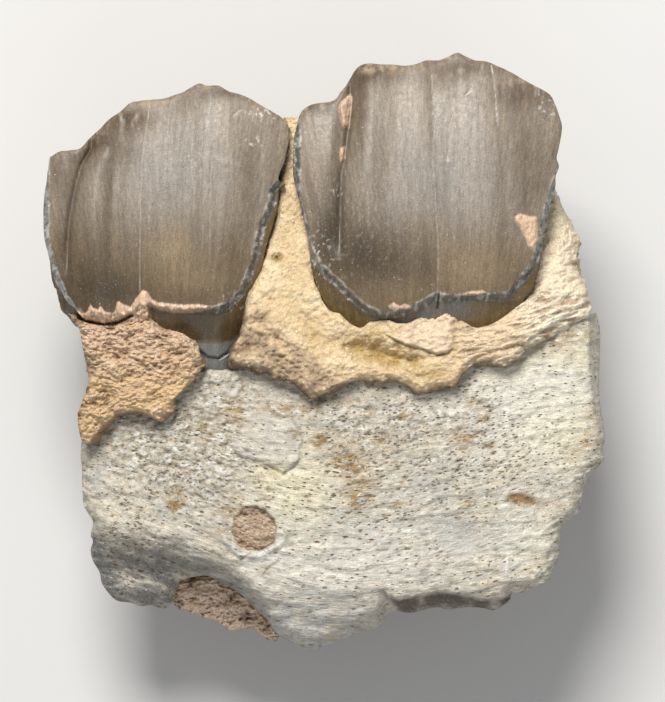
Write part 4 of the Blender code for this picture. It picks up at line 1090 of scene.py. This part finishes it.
yellowFill = {
    "name": "siltstoneAroundSecondMolar",
    "node": "matrix_around_second_molar",
    "cells": (600, 86, 40),
    "top": 24.9,
    "lowest": 6.5,
    "ledge": 6.4,  # how thick it is where it lies on the bone
    # stations down the gap between the teeth, along under the second molar and up beside it: the
    # siltstone's inner edge and its outer edge at each
    "stations": [((-2.1, 21.4), (-3.7, 21.4)), ((-2.3, 19.3), (-3.6, 19.3)), ((-2.4, 17), (-3.9, 17)),
        ((-2.3, 14.7), (-4.3, 14.9)), ((-1.9, 12.7), (-4.5, 13.2)), ((-1.4, 10.5), (-4.9, 11.3)),
        ((-1.1, 8.3), (-5.4, 9.4)), ((-0.9, 6.5), (-5.8, 7.6)), ((-0.5, 5.6), (-6.3, 6.5)),
        ((-0.1, 4.6), (-6.8, 5.5)), ((0.6, 3.7), (-7.2, 4.5)), ((1.4, 3.5), (-7.4, 3.1)),
        ((2, 2.9), (-7.7, 1.6)), ((2.7, 2.4), (-8.5, 0.2)), ((3.4, 2.2), (-8.4, -1.1)),
        ((4.1, 2.7), (-6.7, -1.5)), ((4.6, 2.8), (-4.9, -2.2)), ((5.8, 2.9), (-2.6, -3.1)),
        ((6.7, 2.6), (-1.3, -4.2)), ((7.8, 2.7), (0.5, -3.7)), ((8.6, 3.2), (2.5, -2.8)),
        ((9.5, 3.7), (4.3, -2.6)), ((10.3, 4.2), (6.8, -2.8)), ((11.6, 3.8), (8.5, -3.8)),
        ((12.4, 3.4), (10.5, -3.3)), ((12.5, 3), (11.9, -3.2)), ((13, 2.6), (12.9, -1.8)),
        ((13.8, 2.2), (14.3, -1.1)), ((14.9, 2.4), (16.2, -1.4)), ((15.9, 2.9), (18, -0.4)),
        ((17, 3.7), (19.6, 0.9)), ((18.2, 4.8), (22.2, 2.1)), ((18.9, 5.6), (24.2, 3.3)),
        ((19.2, 6.7), (24.2, 4.9)), ((19.6, 8.5), (23.9, 6.2)), ((19.7, 10.2), (23.1, 7.7)),
        ((20.1, 11.5), (23.4, 10.2)), ((20.4, 13.3), (22.8, 11.5)), ((20.7, 14.5), (21.5, 14)),
        ((20.9, 15.1), (21.2, 14.8))],
    # the overhanging edge across the middle, and the pocket under it
    "shelf": [(5, 1.9), (6.2, 1.15), (7.4, 0.6), (8.7, 0.3), (9.5, 0), (10.3, -0.3), (11.2, -0.1),
        (11.9, 0.4)],
    "pocket": [(1.2, 1), (3, 1.6), (4.6, 1.5), (6, 0.8), (7.6, 0.3), (9.6, -0.3), (10.4, -0.9),
        (8.6, -1.5), (6.5, -1.9), (4.6, -1.6), (3, -1), (1.4, -0.2)],
    "fold": [(13.3, -0.5), (16, 0), (17.8, 0.6), (19.6, 1.5), (21.5, 2.7), (23.3, 3.8)],
    "pit": (-4.3, 8.6, 0.55, 0.4),
    "ochre": [(-0.9, 1.6, 0.7, 1.2, 0.9), (9.5, -2, 2.4, 0.8, 1), (4.8, 1.7, 1.2, 0.5, 0.8),
        (1.2, 1, 0.9, 0.7, 0.7)],
    "brownPart": [(-7.5, 3.4), (-5.6, 3.6), (-4.4, 2), (-3, 0.8), (-1.6, 0.2), (-0.3, -1.4), (1, -2.4),
        (2.6, -2.6), (0.5, -4.2), (-1.3, -4.6), (-4.9, -2.6), (-9, -1.4), (-9, 1)],
}


def makeFill(f, finish):
    inner = curve([station[0] for station in f["stations"]])
    outer = curve([station[1] for station in f["stations"]])

    def place(u, v, w):
        # a band between its inner and outer edges. It stands over the bone as a ledge, and beside
        # the teeth it reaches back between them
        (innerX, innerY), (outerX, outerY) = inner(u), outer(u)
        right = smooth((outerX - 17) / 6)
        share = v * (1 - 0.35 * (1 - w) * right)
        x, y = innerX + (outerX - innerX) * share, innerY + (outerY - innerY) * share
        arm = smooth((y - 5) / 8)
        along, acrossIt = x * 0.97 + y * 0.24, y * 0.97 - x * 0.24
        brown = smooth(depthInside(x, y, f["brownPart"]) / 1.2 + 0.5) * smooth(
            0.75 + 0.8 * rough(x * 0.7, y * 0.7, 0, 3, 80))
        wavy = y + 0.3 * noise(x / 2, y / 2, 0, 81)
        lumps = crumble(x, wavy, 82)
        ridges = 0.62 * lumps
        strands = ridged(along * 0.42, acrossIt * 1.5, 2.0, 4, 84)
        layers = 0.20 * (strands - 1.1) * smooth((x - 6) / 6) * (1 - 0.7 * arm)
        fine = 0.18 * lumps + 0.16 * rough(x * 1.7, y * 1.7, 3, 4, 85, 0.6)
        shelf = distanceTo(x, y, f["shelf"])
        over = smooth((y - np.interp(x, *np.transpose(f["shelf"]))) / 0.22)
        ends = smooth((x - 5.2) / 1.6) * smooth((12.2 - x) / 1.2)
        pocket = smooth((depthInside(x, y, f["pocket"]) + 0.5 * rough(x * 0.9, y * 0.9, 5, 3, 98)) / 1.5
                        + 0.15)
        foldNear = distanceTo(x, y, f["fold"]) + 0.12 * rough(x, y, 1, 2, 86)
        foldY = np.interp(x, *np.transpose(f["fold"]))
        pitX, pitY, pitRx, pitRy = f["pit"]
        pit = bell(np.hypot((x - pitX) / pitRx, (y - pitY) / pitRy) ** 1.5) * smooth(
            0.9 + rough(x * 3, y * 3, 0, 2, 87))
        edge = (1 - v) * np.hypot(outerX - innerX, outerY - innerY) + 0.25 * rough(x, y, 6, 3, 93)
        drop = 1.1 * np.maximum(0, 1 - edge / 1.0) ** 2 + right * 1.0 * smooth((v - 0.45) / 0.55)
        rimStep = 0.25 * smooth((0.03 - v) / 0.03)
        top = (f["top"] - 1.5 * arm - 1.2 * right + 0.42 * noise(x / 2.1, y / 2.1, 3, 88)
               + ridges * brown + layers + fine + 0.55 * over * ends * smooth(1.4 - shelf / 2.4)
               - 0.16 * bell(shelf / 0.10) * ends - 1.15 * pocket - 0.10 * bell(foldNear / 0.22)
               + 0.18 * smooth((y - foldY) / 0.5) * smooth((x - 12.5) / 3) * (1 - arm)
               - 0.5 * pit - drop - rimStep)
        back = f["lowest"] + 0.25 * np.maximum(0, y - 8) + 1.6 * noise(x / 2.5, y / 2.5, 9, 89)
        sit = f["top"] - f["ledge"]
        under = back + (sit - back) * smooth((3.0 - y) / 1.5)
        z = under + (top - under) * w
        flare = 0.45 + 0.06 * noise(x / 3.5, 2 * w, 8, 90)
        y = y - (1 - w) * np.maximum(0, y - 3) * flare
        facing = smooth((w - 0.9) / 0.08)
        sideLumps = crumble((x + y) * 0.7, z * 0.8, 97)
        lump = (0.35 * rough(x * 0.8, y * 0.8, z * 0.8, 4, 91)
                + 0.60 * sideLumps * smooth((v - 0.5) / 0.5)) * (1 - facing) * smooth(w * 8)
        # painted shade along the lower outer rim, where the siltstone falls to the bone
        lower = smooth(1 - edge / 0.5) * smooth((6 - y) / 2) * (1 - right)
        x, y = x + 0.16 * (v > 0.97) * noise(x * 1.3, y * 1.3, 1, 94), y + 0.22 * (v > 0.97) * rough(
            x * 1.1, y * 1.1, 2, 3, 95)
        marks = {
            "brown": brown,
            # painted shade in the low places between the lumps
            "dip": smooth(-0.15 - 1.7 * lumps) * (0.25 + 0.6 * brown),
            "ochre": (pocket * smooth(0.8 + rough(x * 1.2, y * 1.2, 7, 3, 99))
                      + 0.6 * spots(x, y, f["ochre"])),
            "peach": smooth((x - 5.5) / 2.5) * over * ends + 0.55 * smooth((x - 11) / 3) * (1 - arm),
            "cream": smooth((x - 16.5) / 4) * (0.55 + 0.45 * smooth((6.5 - y) / 4)),
            # brown streaks between the strands on the front; on the sides, painted shade in the hollows
            # between lumps
            "streaky": smooth((x - 9) / 4) * (1 - 0.75 * arm) * smooth(2.4 * (1.05 - strands)) * facing
                       + 0.7 * smooth(-0.1 - 1.8 * sideLumps) * (1 - facing),
            "crack": (0.7 * bell(shelf / 0.09) * ends + 0.25 * bell(foldNear / 0.15))
                     * smooth(0.55 + 1.6 * rough(x * 1.3, y * 1.3, 2, 2, 92)),
            # the pocket's ochre, darkened right under the overhanging shelf as painted shade
            "deepOchre": 0.8 * pocket * smooth(1 - shelf / 1.0) * (1 - over),
            "pit": pit,
            "edge": lower * 0.75,
            # painted shade, darker down the sides towards the back
            "deep": smooth((0.9 - w) / 0.5) * smooth(0.6 + rough(x * 0.5, y * 0.5, z * 0.5, 3, 56)),
            "flow": (along, acrossIt, z),
        }
        return x + lump, y + lump, z, marks

    build(f, place, finish)


fillLook = {
    **siltstone,
    "name": "yellow siltstone",
    "base": (0.620, 0.480, 0.292),
    "clouds": [(0.5, None, 0.45, 0.66, (0.690, 0.565, 0.385)),
               (1.6, (0.7, 1.3, 1.0), 0.50, 0.70, (0.572, 0.422, 0.235))],
    "layers": [("peach", (0.680, 0.535, 0.385)), ("cream", (0.780, 0.710, 0.560)),
               ("brown", (0.360, 0.268, 0.182)), ("ochre", (0.400, 0.275, 0.105)),
               # the ochre darkened under the shelf is painted shade over the stain; the streaks' tint also
               # paints shade in the sides' hollows
               ("deepOchre", (0.260, 0.165, 0.045)), ("streaky", (0.470, 0.360, 0.255)),
               # the dip and deep tints are painted shade: between the lumps and down the sides
               ("dip", (0.200, 0.125, 0.068)), ("deep", (0.380, 0.275, 0.165)),
               # the edge tint is painted shade along the lower rim
               ("edge", (0.155, 0.105, 0.062)), ("pit", (0.250, 0.165, 0.055)),
               ("crack", (0.140, 0.094, 0.050))],
    "specks": [(5.0, 0.66, 0.73, (0.90, 0.82, 0.66))],
    "shades": [(3.4, (0.7, 1.3, 1.0), 0.84, 1.12), (9.0, None, 0.78, 1.20)],
    "bumps": [(4.5, None, 0.09), (11.0, None, 0.05)],
}

hollowFill = {
    "name": "siltstoneInLowerHollow",
    "node": "matrix_in_lower_hollow",
    "cells": (180, 90, 24),
    "top": 15.3,
    "deep": 9,
    "left": [(-13.8, -22.5), (-13.9, -21.8), (-13.7, -20.8)],
    "right": [(-4.1, -25.9), (-4.3, -24.4), (-4.9, -23)],
    "upper": [(-13.7, -20.8), (-12.9, -20), (-10.8, -19.4), (-8.7, -20.1), (-6.9, -21.3), (-4.9, -23)],
    "lower": [(-13.8, -22.5), (-13.1, -23.2), (-12.5, -23.6), (-11.5, -23.7), (-10.3, -24.2),
        (-9.5, -24.6), (-8.8, -25.2), (-7.9, -25.3), (-7.2, -25), (-6.7, -24.9), (-6, -25.5), (-5.1, -26),
        (-4.5, -26.1), (-4.1, -25.9)],
}


def makeHollowFill(h, finish):
    front = patch(h["left"], h["right"], h["lower"], h["upper"])

    def place(u, v, w):
        # a rough lump whose lower edge is a blunt snout
        x, y = front(u, v)
        snout, ends = (1 - v) ** 2, np.abs(2 * u - 1) ** 3
        crumbs = rough(x * 1.6, y * 3.0, w * 6, 4, 101)
        lumps = crumble(x * 1.2, y * 1.1 - 4 * w, 100)
        relief = 1.05 * lumps
        top = h["top"] - 2.4 * snout - 1.4 * ends + relief + 0.35 * noise(x / 1.6, y / 1.6, 1, 103)
        under = (h["top"] - h["deep"] + 2.2 * snout + 3.0 * ends
                 + 0.4 * noise(x / 1.6, y / 1.6, 5, 104) + 0.25 * crumbs)
        z = under + (top - under) * w
        x, y = lineUp(x, y, top)
        bulge = snout * (0.9 * (2 * w - 1) ** 2 * (w < 0.5)
                         + (0.35 * relief + 0.3 * noise(x / 1.5, 2 * w, 2, 105)) * (w < 1))
        marks = {
            # painted shade in the low places between the lumps
            "dip": smooth(-0.05 - 1.6 * lumps) * 0.9,
            "shade": smooth((v - 0.62) / 0.3) * 0.75,
            "flow": (x, y, z),
        }
        return x, y + bulge, z, marks

    build(h, place, finish)


hollowLook = {
    **siltstone,
    "name": "pinkish siltstone",
    "base": (0.68, 0.530, 0.400),
    "clouds": [(0.9, None, 0.45, 0.68, (0.80, 0.670, 0.540)),
               (2.8, None, 0.52, 0.70, (0.50, 0.350, 0.240))],
    # the dip tint is painted shade between the lumps
    "layers": [("shade", (0.40, 0.300, 0.220)), ("dip", (0.21, 0.140, 0.095))],
    "specks": [(5.0, 0.66, 0.73, (0.66, 0.56, 0.46))],
    "shades": [(4.0, None, 0.80, 1.16), (9.0, None, 0.78, 1.20)],
    "bumps": [(5.0, None, 0.10), (11.0, None, 0.05)],
}

plugLook = dict(crustLook, name="dusty brown siltstone", base=(0.43, 0.325, 0.235),
                clouds=[(0.8, None, 0.45, 0.68, (0.53, 0.425, 0.325)),
                        (3.0, None, 0.52, 0.70, (0.33, 0.230, 0.150))])

roundPlug = {
    "name": "siltstonePlug",
    "node": "foramen_plug",
    "cells": (90, 90, 10),
    "middle": (-6.4, -16.1),
    "radius": 2.12,
    "face": 22.25,
    "deep": 5.0,
}


def makePlug(p, finish):
    def place(u, v, w):
        # a square grid bent into a disc: each side is drawn in by the other's distance from the middle
        a, b = 2 * u - 1, 2 * v - 1
        reach = p["radius"] * (0.85 + 0.15 * w)
        x = p["middle"][0] + 1.06 * reach * a * np.sqrt(1 - b * b / 2)
        y = p["middle"][1] + 0.97 * reach * b * np.sqrt(1 - a * a / 2)
        crumbs = crumble(x * 1.3, y * 1.3 + 0.4 * x, 110)
        top = p["face"] + 0.50 * crumbs - 0.25 * np.hypot(a, b) ** 3 * smooth(0.4 - b)
        z = p["face"] - p["deep"] + (top - p["face"] + p["deep"]) * w
        marks = {
            # painted shade in the low places between the lumps
            "dip": smooth(-0.1 - 1.6 * crumbs) * 0.7,
            # painted shade round the plug's rim, where it sits in its hole
            "edge": smooth((np.maximum(np.abs(a), np.abs(b)) - 0.86) / 0.14 + 0.6 * crumbs) * 0.5,
            "flow": (x, y, z),
        }
        return x, y, z, marks

    build(p, place, finish)


# Floor, light and camera

stage = {  # sizes and places in metres, powers in watts
    "floorSize": 3.0,
    "floorColour": (0.58, 0.58, 0.575),
    "keyAt": (-0.07, 0.29, 0.42),
    "keySize": 0.20,
    "keyPower": 3.5,
    "keyColour": (1.0, 0.975, 0.94),
    "fillAt": (0.10, -0.36, 0.40),
    "fillSize": 0.5,
    "fillPower": 0.6,
    "fillColour": (1.0, 1.0, 1.0),
    "sky": (0.97, 0.98, 1.0),
    "skyStrength": 0.34,
}


def makeStage(s):
    # a level square of floor, two round lamps that face the fossil, an even sky and the camera
    half = s["floorSize"] / 2
    mesh = bpy.data.meshes.new("floor")
    mesh.from_pydata([(-half, -half, 0), (half, -half, 0), (half, half, 0), (-half, half, 0)], [],
                     [(0, 1, 2, 3)])
    floor = bpy.data.objects.new("floor", mesh)
    bpy.context.scene.collection.objects.link(floor)
    paint = bpy.data.materials.new("pale floor")
    paint.use_nodes = True
    shader = paint.node_tree.nodes["Principled BSDF"]
    shader.inputs["Base Color"].default_value = (*s["floorColour"], 1)
    shader.inputs["Roughness"].default_value = 0.8
    mesh.materials.append(paint)

    for name in ("key", "fill"):
        light = bpy.data.lights.new(name, "AREA")
        light.shape, light.size = "DISK", s[name + "Size"]
        light.energy, light.color = s[name + "Power"], s[name + "Colour"]
        lamp = bpy.data.objects.new(name, light)
        lamp.location = s[name + "At"]
        lamp.rotation_euler = (Vector((0, 0, 0.02)) - lamp.location).to_track_quat("-Z", "Y").to_euler()
        bpy.context.scene.collection.objects.link(lamp)

    world = bpy.data.worlds.new("soft sky")
    bpy.context.scene.world = world
    world.use_nodes = True
    sky = world.node_tree.nodes["Background"]
    sky.inputs["Color"].default_value = (*s["sky"], 1)
    sky.inputs["Strength"].default_value = s["skyStrength"]

    camera = bpy.data.cameras.new("camera")
    camera.lens = camera.sensor_width * view["height"] / view["takesIn"]
    camera.clip_start = 0.01
    eye = bpy.data.objects.new("camera", camera)
    eye.location = Vector((*view["over"], view["frontPlane"] + view["height"])) * mm
    bpy.context.scene.collection.objects.link(eye)
    bpy.context.scene.camera = eye
    bpy.context.scene.view_settings.view_transform = "Standard"  # keeps the colours' strength


makeStage(stage)
print("floor, light and camera are in place")
enamel = makeFinish(enamelLook)
makeTooth(firstMolar, enamel)
makeTooth(secondMolar, enamel)
print("the two molars are made")
makeBone(jawBone, makeFinish(boneLook))
print("the jaw bone is made")
makeCrust(tanCrust, makeFinish(crustLook))
makeFill(yellowFill, makeFinish(fillLook))
makeHollowFill(hollowFill, makeFinish(hollowLook))
makePlug(roundPlug, makeFinish(plugLook))
print("the siltstone is made")
